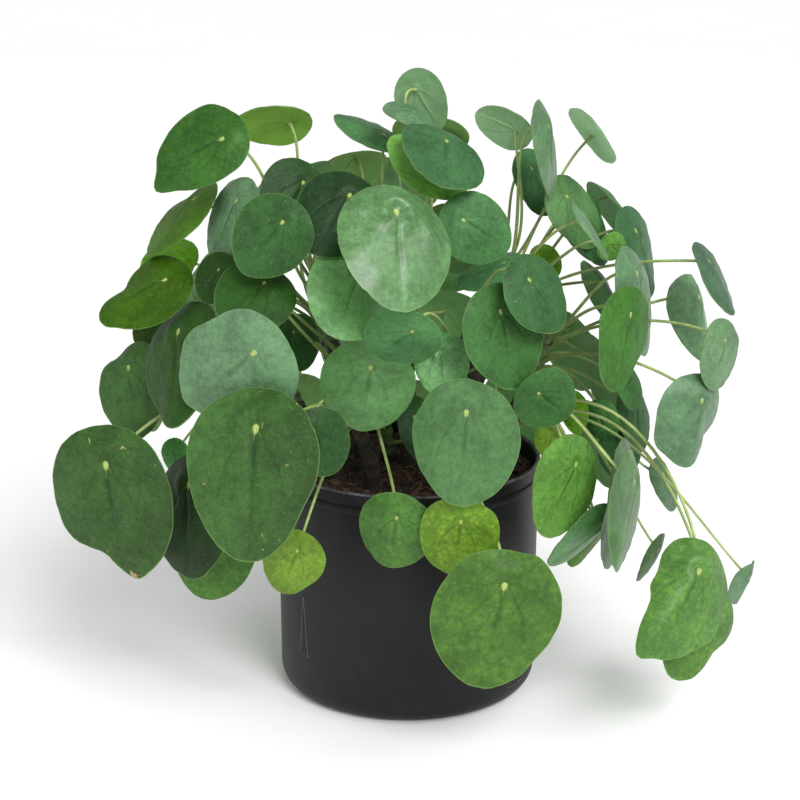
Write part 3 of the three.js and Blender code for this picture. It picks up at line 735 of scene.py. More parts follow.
@material("leaf underside")
def material_leaf_under(sheet, place):
    """The duller, paler back of a leaf, with its veins standing out, and painted light shining through it.
    """
    veins = sheet.veins(0.010)
    # Painted light: the leaf's green made several times lighter, standing in for light shining through it.
    lit_through = sheet.tinted(sheet.attribute("tone", "Color"), (3.2, 2.6, 3.2))
    base = sheet.mix(0.22, lit_through, colour("underside"))
    base = sheet.mottle(place, base, scale=70.0, strength=0.22)["Color"]
    light = sheet.tinted(base, (1.5, 1.35, 1.3))
    base = sheet.over(base, light, veins["Lines"], 0.75)
    base = sheet.over(base, light, veins["Network"], 0.18)
    grain = sheet.grain(place, 800.0)
    height = sheet.line(grain["Height"], 0.2, sheet.line(veins["Grooves"], 0.5, veins["Lines"]))
    return {
        "Base Color": base,
        "Roughness": sheet.line(grain["Value"], 0.12, 0.52),
        "Normal": sheet.bump(height, 0.0005),
    }


@material("leaf edge")
def material_leaf_edge(sheet, place):
    """The thin pale rim of a leaf."""
    tint = sheet.mix(0.6, colour("margin"), sheet.attribute("tone", "Color"))
    base = sheet.mottle(place, tint, scale=150.0, strength=0.3)["Color"]
    return {"Base Color": base, "Roughness": 0.45}


@material("leaf stalk")
def material_stalk(sheet, place):
    """Smooth olive stalks, darker at the root as painted shade where they crowd in, with a fine grain."""
    base = sheet.mottle(place, colour("stalk"), scale=40.0, strength=0.45)["Color"]
    # Painted shade at the root, where the stalks crowd into the crown.
    dark = sheet.tinted(base, (0.30, 0.36, 0.24))
    grain = sheet.grain(sheet.stretched(place, (1, 1, 0.3)), 700.0)
    return {
        "Base Color": sheet.over(base, dark, sheet.attribute("root"), 0.85),
        "Roughness": sheet.line(grain["Value"], 0.14, 0.38),
        "Normal": sheet.bump(grain["Height"], 0.0002),
    }


@material("young stem")
def material_young_stem(sheet, place):
    """The green top of a stem, with the rings and scars that old stalks leave, kept dark as painted shade.
    """
    base = sheet.mottle(place, colour("young_stem"), scale=90.0, strength=0.6)["Color"]
    scars = sheet.ramp(sheet.noise(sheet.stretched(place, (1, 1, 2.6)), 95.0, 2.0), 0.55, 0.62)
    height = sheet.line(sheet.grain(place, 500.0)["Height"], 0.4, sheet.times(scars, -0.5))
    return {
        "Base Color": sheet.mix(scars, base, colour("bark")),
        "Roughness": sheet.line(scars, 0.25, 0.5),
        "Normal": sheet.bump(height, 0.0008),
    }


@material("stem bark")
def material_bark(sheet, place):
    """Brown, ringed and flaking bark of the old stems, its brown made darker as painted shade."""
    base = sheet.mottle(place, colour("bark"), scale=110.0, strength=0.9)["Color"]
    drawn = sheet.stretched(place, (0.35, 0.35, 1.0))
    rings = sheet.noise(drawn, 260.0, 3.0, roughness=0.6, distortion=0.6)
    light = sheet.tinted(base, (1.9, 1.8, 1.6))
    return {
        "Base Color": sheet.over(base, light, sheet.ramp(rings, 0.52, 0.66), 0.6),
        "Roughness": sheet.ramp(rings, 0.2, 0.8, 0.95, 0.7),
        "Normal": sheet.bump(sheet.line(sheet.grain(place, 450.0)["Height"], 0.5, rings), 0.0012),
    }


@material("potting mix")
def material_soil(sheet, place):
    """Dark, damp, reddish-brown potting mix."""
    base = sheet.mottle(place, colour("soil"), scale=300.0, strength=1.4)
    some = sheet.ramp(sheet.noise(place, 460.0, 2.0), 0.54, 0.60)
    height = sheet.line(sheet.cells(place, 330.0), -0.6, sheet.noise(place, 420.0, 5.0, roughness=0.7))
    return {
        "Base Color": sheet.over(base["Color"], colour("crumb"), some, 0.6),
        "Roughness": sheet.ramp(base["Patches"], 0.0, 1.0, 0.95, 0.75),
        "Normal": sheet.bump(height, 0.0030),
    }


@material("bark crumb")
def material_crumb(sheet, place):
    """Bark crumbs and fibres that lie on the soil."""
    grain = sheet.grain(place, 900.0)
    return {
        "Base Color": sheet.mottle(place, colour("crumb"), scale=420.0, strength=1.7)["Color"],
        "Roughness": sheet.line(grain["Value"], 0.25, 0.7),
        "Normal": sheet.bump(grain["Height"], 0.0006),
    }


@material("moulded plastic")
def material_pot(sheet, place):
    """Near-black moulded plastic, fine grain, faint flow streaks, dust, and a lip paled by wear and a
    painted highlight.
    """
    base = sheet.mottle(place, colour("pot"), scale=22.0, strength=0.35)["Color"]
    heights = sheet.add("ShaderNodeSeparateXYZ", {0: place}).outputs["Z"]
    streaks = sheet.noise(sheet.stretched(place, (1, 1, 0.06)), 160.0, 3.0, roughness=0.6)
    dust = sheet.times(sheet.ramp(sheet.noise(place, 60.0, 5.0, roughness=0.7), 0.50, 0.74), 0.14)
    low = sheet.ramp(heights, 0.0, 0.05, 0.45, 0.12)
    dusty = sheet.times(dust, sheet.plus(low, sheet.ramp(streaks, 0.5, 0.7, 0.0, 0.35)))
    base = sheet.mix(dusty, base, (0.11, 0.105, 0.10))
    # Paler band along the lip: partly wear, partly a painted highlight along its edge.
    lip = sheet.ramp(heights, RIM_HEIGHT - 0.0018, RIM_HEIGHT - 0.0004)
    lip_wear_and_highlight = sheet.ramp(sheet.noise(place, 180.0, 2.0), 0.35, 0.65, 0.25, 0.8)
    grain = sheet.grain(place, 1400.0)
    height = sheet.line(streaks, 0.25, sheet.times(grain["Height"], 0.3))
    return {
        "Base Color": sheet.over(base, (0.16, 0.16, 0.18), lip, lip_wear_and_highlight),
        "Roughness": sheet.line(dusty, 0.5, sheet.line(grain["Value"], 0.07, 0.44)),
        "Specular IOR Level": 0.26,
        "Normal": sheet.bump(height, 0.0003),
    }


@material("mould line")
def material_moulding(sheet, place):
    """The fine lines where the mould's parts met, a little paler than the wall."""
    base = sheet.mottle(place, colour("moulding"), scale=120.0, strength=0.8)["Color"]
    return {"Base Color": base, "Roughness": 0.5}


@material("studio floor")
def material_floor(sheet, place):
    """A plain pale studio floor."""
    base = sheet.mottle(place, colour("floor"), scale=1.5, strength=0.02)["Color"]
    return {"Base Color": base, "Roughness": 0.9}


# Where stems, stalks and leaves are, in millimetres


def stem_ends(shoot):
    """The foot of a stem, its crown, the way it heads there, and its green tip."""
    foot = Vector((*shoot["foot"], SOIL_TOP_MM - HOLE_DEPTH_MM + FIT_GAP_MM))
    crown = Vector(shoot["crown"])
    heading = crown - foot
    heading.x *= STEM_LEAN
    heading.y *= STEM_LEAN
    heading.normalize()
    return foot, crown, heading, crown + heading * GREEN_LENGTH_MM


def bezier(points, t):
    """A point of a cubic curve."""
    a, b, c, d = points
    s = 1 - t
    return a * s**3 + b * 3 * s * s * t + c * 3 * s * t * t + d * t**3


def stem_curve(shoot):
    """The four points of a woody stem from the ground to its crown."""
    foot, crown, heading, _ = stem_ends(shoot)
    ground = Vector((foot.x, foot.y, SOIL_TOP_MM + SOIL_RISE_MM))
    pull = (crown - ground).length * STEM_PULL
    return ground, ground + Vector((0, 0, pull)), crown - heading * pull, crown


def pose_of(middle, length, ex, ey, normal):
    """Where a blade lies: its middle, its size, and the ways to its side, to its tip and outwards."""
    return dict(middle=middle, length=length, breadth=length * BREADTH, ex=ex, ey=ey, normal=normal)


def place_behind(row):
    """The pose of a leaf on the far side."""
    bearing = math.radians(row["bearing"])
    facing = math.radians(row["facing"])
    outward = Vector((*polar(1, bearing), 0))
    middle = outward * row["reach"] + Vector((0, 0, row["height"]))
    normal = outward * math.cos(facing) + Vector((0, 0, math.sin(facing)))
    down = Vector((0, 0, -1))
    ey = (down - normal * down.dot(normal)).normalized()
    swing = BACK_SWING * (scatter(row["bearing"] * row["height"]) - 0.5)
    ey = Matrix.Rotation(swing, 3, normal) @ ey
    return pose_of(middle, row["size"], ey.cross(normal), ey, normal)


def place_seen(row, crown):
    """The pose of a leaf from its pixels. Of the two that look alike, the one with its back to the crown.

    Its sides are square to its length and BREADTH times as long, so how both look gives its size and tilt.
    """
    across, down = ((pixel - VIEW_CENTRE) / VIEW_FOCAL for pixel in row["middle"])
    line = VIEW_FORWARD + VIEW_RIGHT * across - VIEW_UP * down
    distance = (-row["near"] - VIEW_EYE.y) / line.y
    middle = VIEW_EYE + line * distance
    away = line.normalized()

    def seen(pixels):
        vector = (VIEW_RIGHT * pixels[0] - VIEW_UP * pixels[1]) * (distance / VIEW_FOCAL * 2)
        return vector - away * vector.dot(away)

    long_way = seen(row["along"])
    short_way = seen(row["across"])
    cross = long_way.dot(short_way)
    spread = long_way.length_squared * short_way.length_squared - cross * cross
    share = BREADTH * BREADTH
    total = short_way.length_squared + long_way.length_squared * share
    square = (total + math.sqrt(max(0, total * total - 4 * share * spread))) / (2 * share)
    depth_along = math.sqrt(max(1e-6, square - long_way.length_squared))
    depth_across = -cross / depth_along
    poses = []
    for lean in (1, -1):
        ey = (long_way + away * (lean * depth_along)).normalized()
        ex = short_way + away * (lean * depth_across)
        ex = (ex - ey * ex.dot(ey)).normalized()
        normal = ex.cross(ey)
        if (normal.dot(away) < 0) == bool(row.get("under")):
            ex.negate()
            normal.negate()
        poses.append(pose_of(middle, math.sqrt(square), ex, ey, normal))
    if "lean" in row:
        return poses[0] if row["lean"] > 0 else poses[1]
    return max(poses, key=lambda pose: pose["normal"].dot(middle - crown))


def placed_leaves(shoot):
    """The leaves of a stem with their poses and shares, from the lowest to the highest."""
    top = stem_ends(shoot)[3]
    placed = []
    for row in shoot["leaves"]:
        pose = place_seen(row, top) if "middle" in row else place_behind(row)
        placed.append((row, pose))
    placed.sort(key=lambda item: item[1]["middle"].z)
    last = len(placed) - 1
    return [(row, pose, order / last) for order, (row, pose) in enumerate(placed)]


def hub_place(pose):
    """How far the stalk's joint is from the blade's middle, towards the tip."""
    return STALK_AHEAD_MM - CENTRE_BACK * pose["length"]


def leaf_seed(pose):
    """A number of the leaf's own, for its irregular forms."""
    return pose["middle"].x + pose["middle"].z * 3


def rim_place(pose, row, turn):
    """The rim at a turn from the tip: how far across and along."""
    tip = TIP_POINT * max(0, math.cos(turn)) ** 8
    across = 0.5 * pose["breadth"] * math.sin(turn) * (1 - EGG * math.cos(turn))
    along = pose["length"] * (0.5 * math.cos(turn) + tip)
    around = Vector((math.sin(turn), math.cos(turn), leaf_seed(pose)))
    share = 1
    for height, closeness in RIM_WAVES:
        share += height * noise.noise(around * closeness)
    for place, amount, width in row.get("dents", ()):
        aside = (math.degrees(turn) - place + 180) % 360 - 180
        share += amount * swell(aside, width)
    return across * share, along * share


def blade_relief(row, turn, reach, across, along, place):
    """How far the blade stands out over its dome, as a share of its length.

    It has a groove down its midrib, a ring round a dimple at its hub, bulges, and a crimped rim.
    """
    quilt = row.get("quilt", USUAL_QUILT)
    from_hub = math.hypot(across, along)
    past_hub = min(1.0, max(0.0, along) * 8)
    groove = (0.007 + 0.006 * quilt) * swell(across, MIDRIB_WIDTH) * past_hub * (1 - reach) ** 0.5
    ring = (0.008 + 0.020 * quilt) * swell(from_hub - HUB_RING, HUB_WIDTH)
    dimple = 0.012 * swell(from_hub, HUB_WIDTH)
    bulge = (0.006 + 0.010 * quilt) * noise.noise(place) * reach * (1.2 - reach) * 2.4
    crimp = 0.012 * reach**6 * noise.noise(Vector((math.sin(turn) * 4, math.cos(turn) * 4, place.z + 9)))
    wrinkle = 0.003 * quilt * reach**3 * math.sin(30 * turn + 4 * noise.noise(place))
    return ring - dimple - groove + bulge + crimp + wrinkle


def blade_spot(pose, row, turn, reach):
    """A point of the blade's top face, and its place across and along from the hub."""
    length = pose["length"]
    seed = leaf_seed(pose)
    rim_u, rim_v = rim_place(pose, row, turn)
    hub = hub_place(pose)
    u = rim_u * reach
    v = hub + (rim_v - hub) * reach
    dome = (DOME_LEAST + DOME_MORE * scatter(seed)) * (1 - reach * reach)
    wave = WAVE * math.sin(3 * turn + scatter(seed + 1) * 6) * reach * reach
    fold = row.get("fold", 0) * (pose["breadth"] / 4 - abs(u))
    across = u / length
    along = (v - hub) / length
    relief = blade_relief(row, turn, reach, across, along, Vector((u * 6 / length, v * 6 / length, seed)))
    height = length * (dome + wave + relief) + fold
    spot = pose["middle"] + pose["ex"] * u + pose["ey"] * v + pose["normal"] * height
    return spot, across, along


def stalk_curve(pose, row, shoot, share):
    """The four points of a stalk, from the green top outwards and upwards to the blade's back."""
    _, crown, heading, _ = stem_ends(shoot)
    hub = blade_spot(pose, row, 0, 0)[0] - pose["normal"] * BLADE_THICKNESS_MM * 0.5
    start = crown + heading * (GREEN_LENGTH_MM * (LOWEST_STALK + STALK_SPREAD * share))
    outward = hub - start
    outward.z = 0
    outward.normalize()
    start += outward * (GREEN_RADIUS_MM * 0.5)
    span = (hub - start).length
    rise = RISE_TO_LEAF if hub.z > start.z else DROP_TO_LEAF
    leave = (outward + Vector((0, 0, rise))).normalized()
    arrive = (pose["normal"] * 0.85 + pose["ey"] * 0.35).normalized()
    bow = Vector(row.get("bow", (0, 0, 0)))
    first = start + leave * (span * STALK_PULL_OUT) + bow
    second = hub - arrive * (span * STALK_PULL_IN) + bow * 0.6
    return start, first, second, hub


# Pieces


def start_disc(name, sides, radius, height):
    """A flat disc as a new piece, left in edit mode with its face selected."""
    deselect()
    bpy.ops.mesh.primitive_circle_add(
        vertices=sides, radius=radius, fill_type="NGON", location=(0, 0, height)
    )
    piece = bpy.context.object
    piece.name = name
    bpy.ops.object.mode_set(mode="EDIT")
    bpy.ops.mesh.select_mode(type="FACE")
    return piece


def pull_up(height):
    """Extrudes the selected face upwards."""
    bpy.ops.mesh.extrude_region_move(TRANSFORM_OT_translate={"value": (0, 0, height)})


def face_outwards():
    """Turns all faces outwards and leaves edit mode."""
    bpy.ops.mesh.select_all(action="SELECT")
    bpy.ops.mesh.normals_make_consistent(inside=False)
    bpy.ops.object.mode_set(mode="OBJECT")


def turned_piece(name, rings, sides):
    """A turned solid: a disc, extruded ring by ring through a list of radius and height."""
    radius, height = rings[0]
    piece = start_disc(name, sides, radius, height)
    for next_radius, next_height in rings[1:]:
        pull_up(next_height - height)
        share = next_radius / radius
        bpy.ops.transform.resize(value=(share, share, 1), center_override=(0, 0, next_height))
        radius, height = next_radius, next_height
    face_outwards()
    make_active(piece)
    bpy.ops.object.transform_apply(location=True, rotation=True, scale=True)
    return piece


def tube_along(name, spots, radii, sides):
    """A round tube through the spots, with its own radius at each, from a ring extruded along them."""
    piece = start_disc(name, sides, radius=1, height=0)
    for _ in spots[1:]:
        pull_up(1)
    face_outwards()
    turns = []
    aside = Vector((1, 0, 0))
    for i in range(len(spots)):
        ahead = spots[min(i + 1, len(spots) - 1)] - spots[max(i - 1, 0)]
        ahead.normalize()
        aside = (aside - ahead * aside.dot(ahead)).normalized()
        turns.append((aside.copy(), ahead.cross(aside)))
    for vertex in piece.data.vertices:
        x, y, z = vertex.co
        level = round(z)
        right, up = turns[level]
        vertex.co = spots[level] + (right * x + up * y) * radii[level]
    return piece


def wire(name, lines, closed=False):
    """Fine round lines along lists of points, as one mesh."""
    data = bpy.data.curves.new(name, "CURVE")
    data.dimensions = "3D"
    data.bevel_depth = FINE_LINE
    data.bevel_resolution = 1
    data.use_fill_caps = not closed
    for points in lines:
        spline = data.splines.new("POLY")
        spline.points.add(len(points) - 1)
        for spot, point in zip(spline.points, points):
            spot.co = (*point, 1)
        spline.use_cyclic_u = closed
    make_active(place_in_scene(name, data))
    bpy.ops.object.convert(target="MESH")
    return bpy.context.object


def pot_rings(wall_thickness):
    """The pot's outline, from the middle of its underside up its outside, over its lip and down inside."""
    top = RIM_HEIGHT
    rim = RIM_RADIUS
    wall = rim - WALL_INSET
    inner = wall - wall_thickness
    foot = [
        (0.060, 0.0012), (0.0665, 0.0012), (0.0680, 0.0000), (0.0715, 0.0000), (0.0755, 0.0010),
        (0.0790, 0.0030), (0.0813, 0.0058), (0.0826, 0.0092), (FOOT_RADIUS, 0.0125),
    ]
    outside = [(0.0834, 0.0600), (0.0838, 0.1000)]
    step = [
        (wall, top - 0.0138), (rim - 0.0002, top - 0.0134), (rim, top - 0.0128),
        (rim, top - 0.0100), (rim - 0.0002, top - 0.0094), (wall, top - 0.0090),
    ]
    lip = [
        (wall, top - 0.0016), (rim - 0.0002, top - 0.0011), (rim, top - 0.0006), (rim - 0.0003, top),
        (rim - 0.0016, top), (rim - 0.0022, top - 0.0006), (inner, top - 0.0020),
    ]
    inside = [
        (inner, top - 0.0110), (inner - 0.0004, 0.0800), (0.0810, 0.0130), (0.0792, 0.0080),
        (0.0750, 0.0045), (0.0700, 0.0030), (0.0400, 0.0030),
    ]
    return foot + outside + step + lip + inside


def drill_drains(pot):
    """Cuts the round holes in the pot's floor."""
    drills = []
    for i in range(DRAIN_HOLES):
        place = polar(DRAIN_CIRCLE, i / DRAIN_HOLES * math.tau + DRAIN_TURN)
        deselect()
        bpy.ops.mesh.primitive_cylinder_add(
            vertices=24, radius=DRAIN_RADIUS, depth=0.02, location=(*place, 0)
        )
        drills.append(bpy.context.object)
    drill = join(drills, "drill")
    cut = pot.modifiers.new("drain holes", "BOOLEAN")
    cut.operation = "DIFFERENCE"
    cut.solver = "EXACT"
    cut.object = drill
    apply_modifiers(pot)
    bpy.data.objects.remove(drill)


def warp_lip(pot):
    """Lifts the lip a little on one side and makes it slightly uneven."""
    for vertex in pot.data.vertices:
        x, y, z = vertex.co
        share = max(0.0, (z - RIM_HEIGHT + WARP_DEPTH) / WARP_DEPTH)
        lift = WARP_HEIGHT * swell(math.atan2(x, -y) - WARP_SIDE, WARP_WIDTH)
        lift += LIP_UNEVENNESS * noise.noise(Vector((x, y, 0)) * 30)
        vertex.co.z += share * lift


def wall_point(side, height):
    """A point on the pot's wall, side radians round from the front."""
    radius = FOOT_RADIUS + (RIM_RADIUS - WALL_INSET - FOOT_RADIUS) * height / RIM_HEIGHT
    return Vector((radius * math.sin(side), -radius * math.cos(side), height))


def mould_lines():
    """A tall narrow wedge at the left of the front, and a small low frame at the right."""
    side = math.radians(-52.5)
    steps = 20
    left = []
    right = []
    for i in range(steps):
        spread = 0.004 + 0.045 * i / (steps - 1)
        height = 0.074 - 0.0021 * i
        left.append(wall_point(side - spread, height))
        right.append(wall_point(side + spread, height))
    wedge = wire("mould_line", [left + right[::-1]])
    side = math.radians(56)
    half_width = 0.105
    steps = 12
    turns = [half_width * (2 * i / steps - 1) for i in range(steps + 1)]
    low = [wall_point(side + turn, 0.0128) for turn in turns]
    high = [wall_point(side - turn, 0.0205) for turn in turns]
    frame_line = wire("mould_frame", [low + high], closed=True)
    return join([wedge, frame_line], "mould_lines")


class PLANT_OT_pot(Operator):
    """Make the moulded pot with its lip, its step, its drain holes and its mould lines"""

    bl_idname = "plant.pot"
    bl_label = "Pot"

    def execute(self, context):
        sizes = context.scene.plant_sizes
        pot = turned_piece("moulded_pot", pot_rings(sizes.pot_wall), sizes.pot_sides)
        drill_drains(pot)
        warp_lip(pot)
        give(pot, material_pot())
        smooth(pot, 35)
        settle(pot, "pot", "pot")
        lines = mould_lines()
        give(lines, material_moulding())
        smooth(lines, 60)
        settle(lines, "pot")
        return {"FINISHED"}


def soil_height(x, y):
    """The soil's surface, with lumps of several sizes."""
    height = SOIL_LEVEL
    for closeness, seed, rise in SOIL_LUMPS:
        height += rise * noise.noise(Vector((x * closeness, y * closeness, seed)))
    return height


def soil_surface(edge, sides):
    """The filling of the pot, with a crumbled surface."""
    rings = [(0.0690, SOIL_FLOOR), (0.0780, 0.0100), (0.0803, 0.0150), (edge, SOIL_LEVEL - 0.003)]
    steps = 34
    for i in range(steps):
        rings.append((edge * (1 - i / steps) + 0.0002, SOIL_LEVEL))
    soil = turned_piece("potting_soil", rings, sides)
    for vertex in soil.data.vertices:
        if vertex.co.z > SOIL_LEVEL - 0.001:
            vertex.co.z = soil_height(vertex.co.x, vertex.co.y)
    return soil


def angular_crumb():
    """A small angular crumb: a ball with its corners pushed every way."""
    deselect()
    bpy.ops.mesh.primitive_ico_sphere_add(subdivisions=1, radius=1, location=(0, 0, 0))
    crumb = bpy.context.object
    for vertex in crumb.data.vertices:
        vertex.co += 0.55 * noise.noise_vector(vertex.co * 1.4 + Vector((4.1, 2.3, 0.7)))
    return crumb


def spread_crumbs(count, reach):
    """Copies of one crumb, each with its own size and turn, all over the soil."""
    crumb = angular_crumb()
    grown = bmesh.new()
    for i in range(count):
        x, y = polar(reach * math.sqrt(scatter(i * 5.3 + 1)), scatter(i * 3.1) * math.tau)
        size = 0.0005 + 0.0017 * scatter(i * 7.9 + 2) ** 3
        spin = Matrix.Rotation(scatter(i * 2.3) * 6, 4, "X") @ Matrix.Rotation(scatter(i * 4.7) * 6, 4, "Z")
        flat = Matrix.Diagonal((size * (1 + 1.4 * scatter(i + 0.5)), size * 0.9, size * 0.5, 1))
        copy = crumb.data.copy()
        copy.transform(Matrix.Translation((x, y, soil_height(x, y) + size * 0.3)) @ spin @ flat)
        grown.from_mesh(copy)
        bpy.data.meshes.remove(copy)
    mesh = bpy.data.meshes.new("soil_crumbs")
    grown.to_mesh(mesh)
    grown.free()
    bpy.data.objects.remove(crumb)
    return place_in_scene("soil_crumbs", mesh)


def spread_fibres(count, reach):
    """Short bent fibres, all over the soil."""
    strands = []
    steps = 5
    for i in range(count):
        middle_x, middle_y = polar(reach * math.sqrt(scatter(i * 6.1 + 4)), scatter(i * 3.7 + 9) * math.tau)
        heading = scatter(i * 8.3 + 5) * math.tau
        length = 0.006 + 0.012 * scatter(i * 9.1 + 6)
        bend = 2.8 * (scatter(i + 0.3) - 0.5)
        spots = []
        for step in range(steps + 1):
            share = step / steps
            aside = polar(length * (share - 0.5), heading + bend * (share - 0.5))
            x = middle_x + aside[0]
            y = middle_y + aside[1]
            lift = 0.0005 + 0.0012 * math.sin(share * math.pi) * scatter(i * 1.9)
            spots.append(Vector((x, y, soil_height(x, y) + lift)))
        strands.append(spots)
    return wire("soil_fibres", strands)


class PLANT_OT_soil(Operator):
    """Make the potting mix, with loose crumbs and fibres on it"""

    bl_idname = "plant.soil"
    bl_label = "Soil"

    def execute(self, context):
        sizes = context.scene.plant_sizes
        edge = RIM_RADIUS - WALL_INSET - sizes.pot_wall - SOIL_GAP
        soil = soil_surface(edge, sizes.pot_sides)
        give(soil, material_soil())
        smooth(soil, 60)
        settle(soil, "soil", "soil")
        crumbs = spread_crumbs(sizes.crumbs, edge - 0.003)
        give(crumbs, material_crumb())
        settle(crumbs, "soil")
        fibres = spread_fibres(sizes.fibres, edge - 0.010)
        give(fibres, material_crumb())
        settle(fibres, "soil")
        return {"FINISHED"}


def woody_stem(name, shoot, radius):
    """A stem from its foot in the soil to its crown, with rings and rough bark."""
    points = stem_curve(shoot)
    foot = stem_ends(shoot)[0]
    spots = [foot * MM, (foot * 0.5 + points[0] * 0.5) * MM]
    radii = [radius * 0.98, radius]
    steps = 40
    for i in range(steps + 1):
        share = i / steps
        spot = bezier(points, share) * MM
        ring = 0.10 * max(0.0, math.sin(share * 17 + foot.x)) ** 6
        rough = 0.10 * noise.noise(spot * 160)
        spots.append(spot)
        radii.append(radius * (1.0 - 0.14 * share + ring + rough))
    stem = tube_along("woody_stem_" + name, spots, radii, sides=20)
    for vertex in stem.data.vertices:
        vertex.co += 0.0004 * noise.noise_vector(vertex.co * 420)
    return stem


class PLANT_OT_stems(Operator):
    """Make the woody stems, with the rings that old stalks leave"""

    bl_idname = "plant.stems"
    bl_label = "Stems"

    def execute(self, context):
        for name, shoot in SHOOTS.items():
            stem = woody_stem(name, shoot, context.scene.plant_sizes.stem_radius)
            give(stem, material_bark())
            smooth(stem, 70)
            settle(stem, "woody_stem", "stem_" + name)
        return {"FINISHED"}


def leaf_stalk(points, radius):
    """One stalk along its curve, thicker at both ends, with its root marked for painted shade."""
    steps = 22
    spots = []
    radii = []
    for i in range(steps + 1):
        share = i / steps
        swollen = 0.7 * swell(share, 0.05) + 0.55 * swell(share - 1, 0.03)
        spots.append(bezier(points, share) * MM)
        radii.append(radius * (1.12 - 0.25 * share + swollen))
    tube = tube_along("stalk", spots, radii, sides=10)
    root_shade = []
    for vertex in tube.data.vertices:
        nearest = min(range(steps + 1), key=lambda i: (vertex.co - spots[i]).length_squared)
        root_shade.append(swell(nearest / steps, 0.30))
    mark(tube.data, "root", root_shade)
    give(tube, material_stalk())
    return tube


def green_top(shoot):
    """The ringed green top of a stem, closed at its tip."""
    _, crown, heading, _ = stem_ends(shoot)
    steps = 30
    spots = []
    radii = []
    for i in range(steps + 1):
        share = i / steps
        spot = (crown + heading * (FIT_GAP_MM + (GREEN_LENGTH_MM + 3) * share)) * MM
        ringed = 1 + 0.10 * math.sin(share * 44) + 0.08 * noise.noise(spot * 200)
        tip = max(0.12, 1 - share**7)
        spots.append(spot)
        radii.append(GREEN_RADIUS_MM * MM * (1.16 - 0.34 * share) * ringed * tip)
    top = tube_along("green_top", spots, radii, sides=18)
    mark(top.data, "root", [0.0] * len(top.data.vertices))
    give(top, material_young_stem())
    return top


class PLANT_OT_stalks(Operator):
    """Make the leaf stalks of every stem, and the green top that they grow from"""

    bl_idname = "plant.stalks"
    bl_label = "Stalks"

    def execute(self, context):
        radius = context.scene.plant_sizes.stalk_radius
        for name, shoot in SHOOTS.items():
            tubes = []
            for row, pose, share in placed_leaves(shoot):
                thickness = radius * (0.72 + 0.38 * min(1.0, pose["length"] / 90))
                tubes.append(leaf_stalk(stalk_curve(pose, row, shoot, share), thickness))
            piece = join([*tubes, green_top(shoot)], "stalks_" + name)
            smooth(piece, 60)
            settle(piece, "leaf", "shoot_" + name)
        return {"FINISHED"}


def blade_master(sizes):
    """A flat disc of rings that every blade is shaped from."""
    master = start_disc("blade", sizes.blade_sides, radius=1, height=0)
    inner_rings = sizes.blade_rings - 3
    reaches = [0.975, 0.94]
    for i in range(inner_rings):
        reaches.append(0.86 * (1 - i / inner_rings) + 0.03)
    radius = 1.0
    for reach in reaches:
        bpy.ops.mesh.inset(thickness=radius - reach, use_boundary=True)
        radius = reach
    bpy.ops.mesh.poke()
    bpy.ops.object.mode_set(mode="OBJECT")
    return master


def blade_tones(pose, row, places):
    """The colour of each point: the row's green, with a small difference of its own, darker to one side."""
    seed = pose["middle"].x * 0.37 + pose["middle"].z
    red, green, blue = colour(row["tone"])
    # shade lightens or darkens the leaf's green, set leaf by leaf partly as painted light and shade.
    light = row.get("shade", 0.9 + 0.2 * scatter(seed))
    warm = 0.95 + 0.10 * scatter(seed + 5)
    base = Vector((red * light * warm, green * light, blue * light / warm))
    # darker paints shade over the right half of the blade.
    darker = row.get("darker", 0.0)
    tones = []
    for across, _ in places:
        tones.extend((*(base * (1 + 2 * darker * (across - 0.5))), 1.0))
    return tones


def shaped_blade(master, pose, row):
    """One blade: the master's mesh copied, put in its shape and place, and marked with its own values."""
    mesh = master.data.copy()
    rim = max(vertex.co.length for vertex in mesh.vertices)
    places = []
    reaches = []
    for vertex in mesh.vertices:
        x, y, _ = vertex.co
        reach = min(1.0, math.hypot(x, y) / rim)
        spot, across, along = blade_spot(pose, row, math.atan2(x, y), reach)
        vertex.co = spot * MM
        places.append((across + 0.5, along + 0.5))
        reaches.append(reach)
    # The tone attribute carries each leaf's green with its painted light and shade.
    tones = mesh.attributes.new("tone", "FLOAT_COLOR", "POINT")
    tones.data.foreach_set("color", blade_tones(pose, row, places))
    mark(mesh, "reach", reaches)
    gloss = SHINY_GLOSS if row["tone"] in SHINY_TONES else USUAL_GLOSS
    for label, usual in (("gloss", gloss), ("quilt", USUAL_QUILT), ("mottled", 0.0), ("scars", 0.0)):
        mark(mesh, label, [row.get(label, usual)] * len(places))
    own_map = mesh.uv_layers.new(name="leaf")
    for loop, spot in zip(mesh.loops, own_map.data):
        spot.uv = places[loop.vertex_index]
    return place_in_scene("blade", mesh)


class PLANT_OT_leaves(Operator):
    """Make the round leaf blades of every stem"""

    bl_idname = "plant.leaves"
    bl_label = "Leaves"

    def execute(self, context):
        sizes = context.scene.plant_sizes
        master = blade_master(sizes)
        for name, shoot in SHOOTS.items():
            blades = [shaped_blade(master, pose, row) for row, pose, _ in placed_leaves(shoot)]
            piece = join(blades, "leaves_" + name)
            give(piece, material_leaf_top(), material_leaf_under(), material_leaf_edge())
            thick = piece.modifiers.new("thickness", "SOLIDIFY")
            thick.thickness = sizes.blade_thickness
            thick.offset = -1
            thick.material_offset = 1
            thick.material_offset_rim = 2
            apply_modifiers(piece)
            smooth(piece, 50)
            settle(piece, "leaf", "shoot_" + name)
        bpy.data.objects.remove(master)
        return {"FINISHED"}


def aimed(name, data, place, target):
    """A light at a place, turned towards a point."""
    lamp = place_in_scene(name, data)
    lamp.location = place
    lamp.rotation_euler = (Vector(target) - Vector(place)).to_track_quat("-Z", "Y").to_euler()


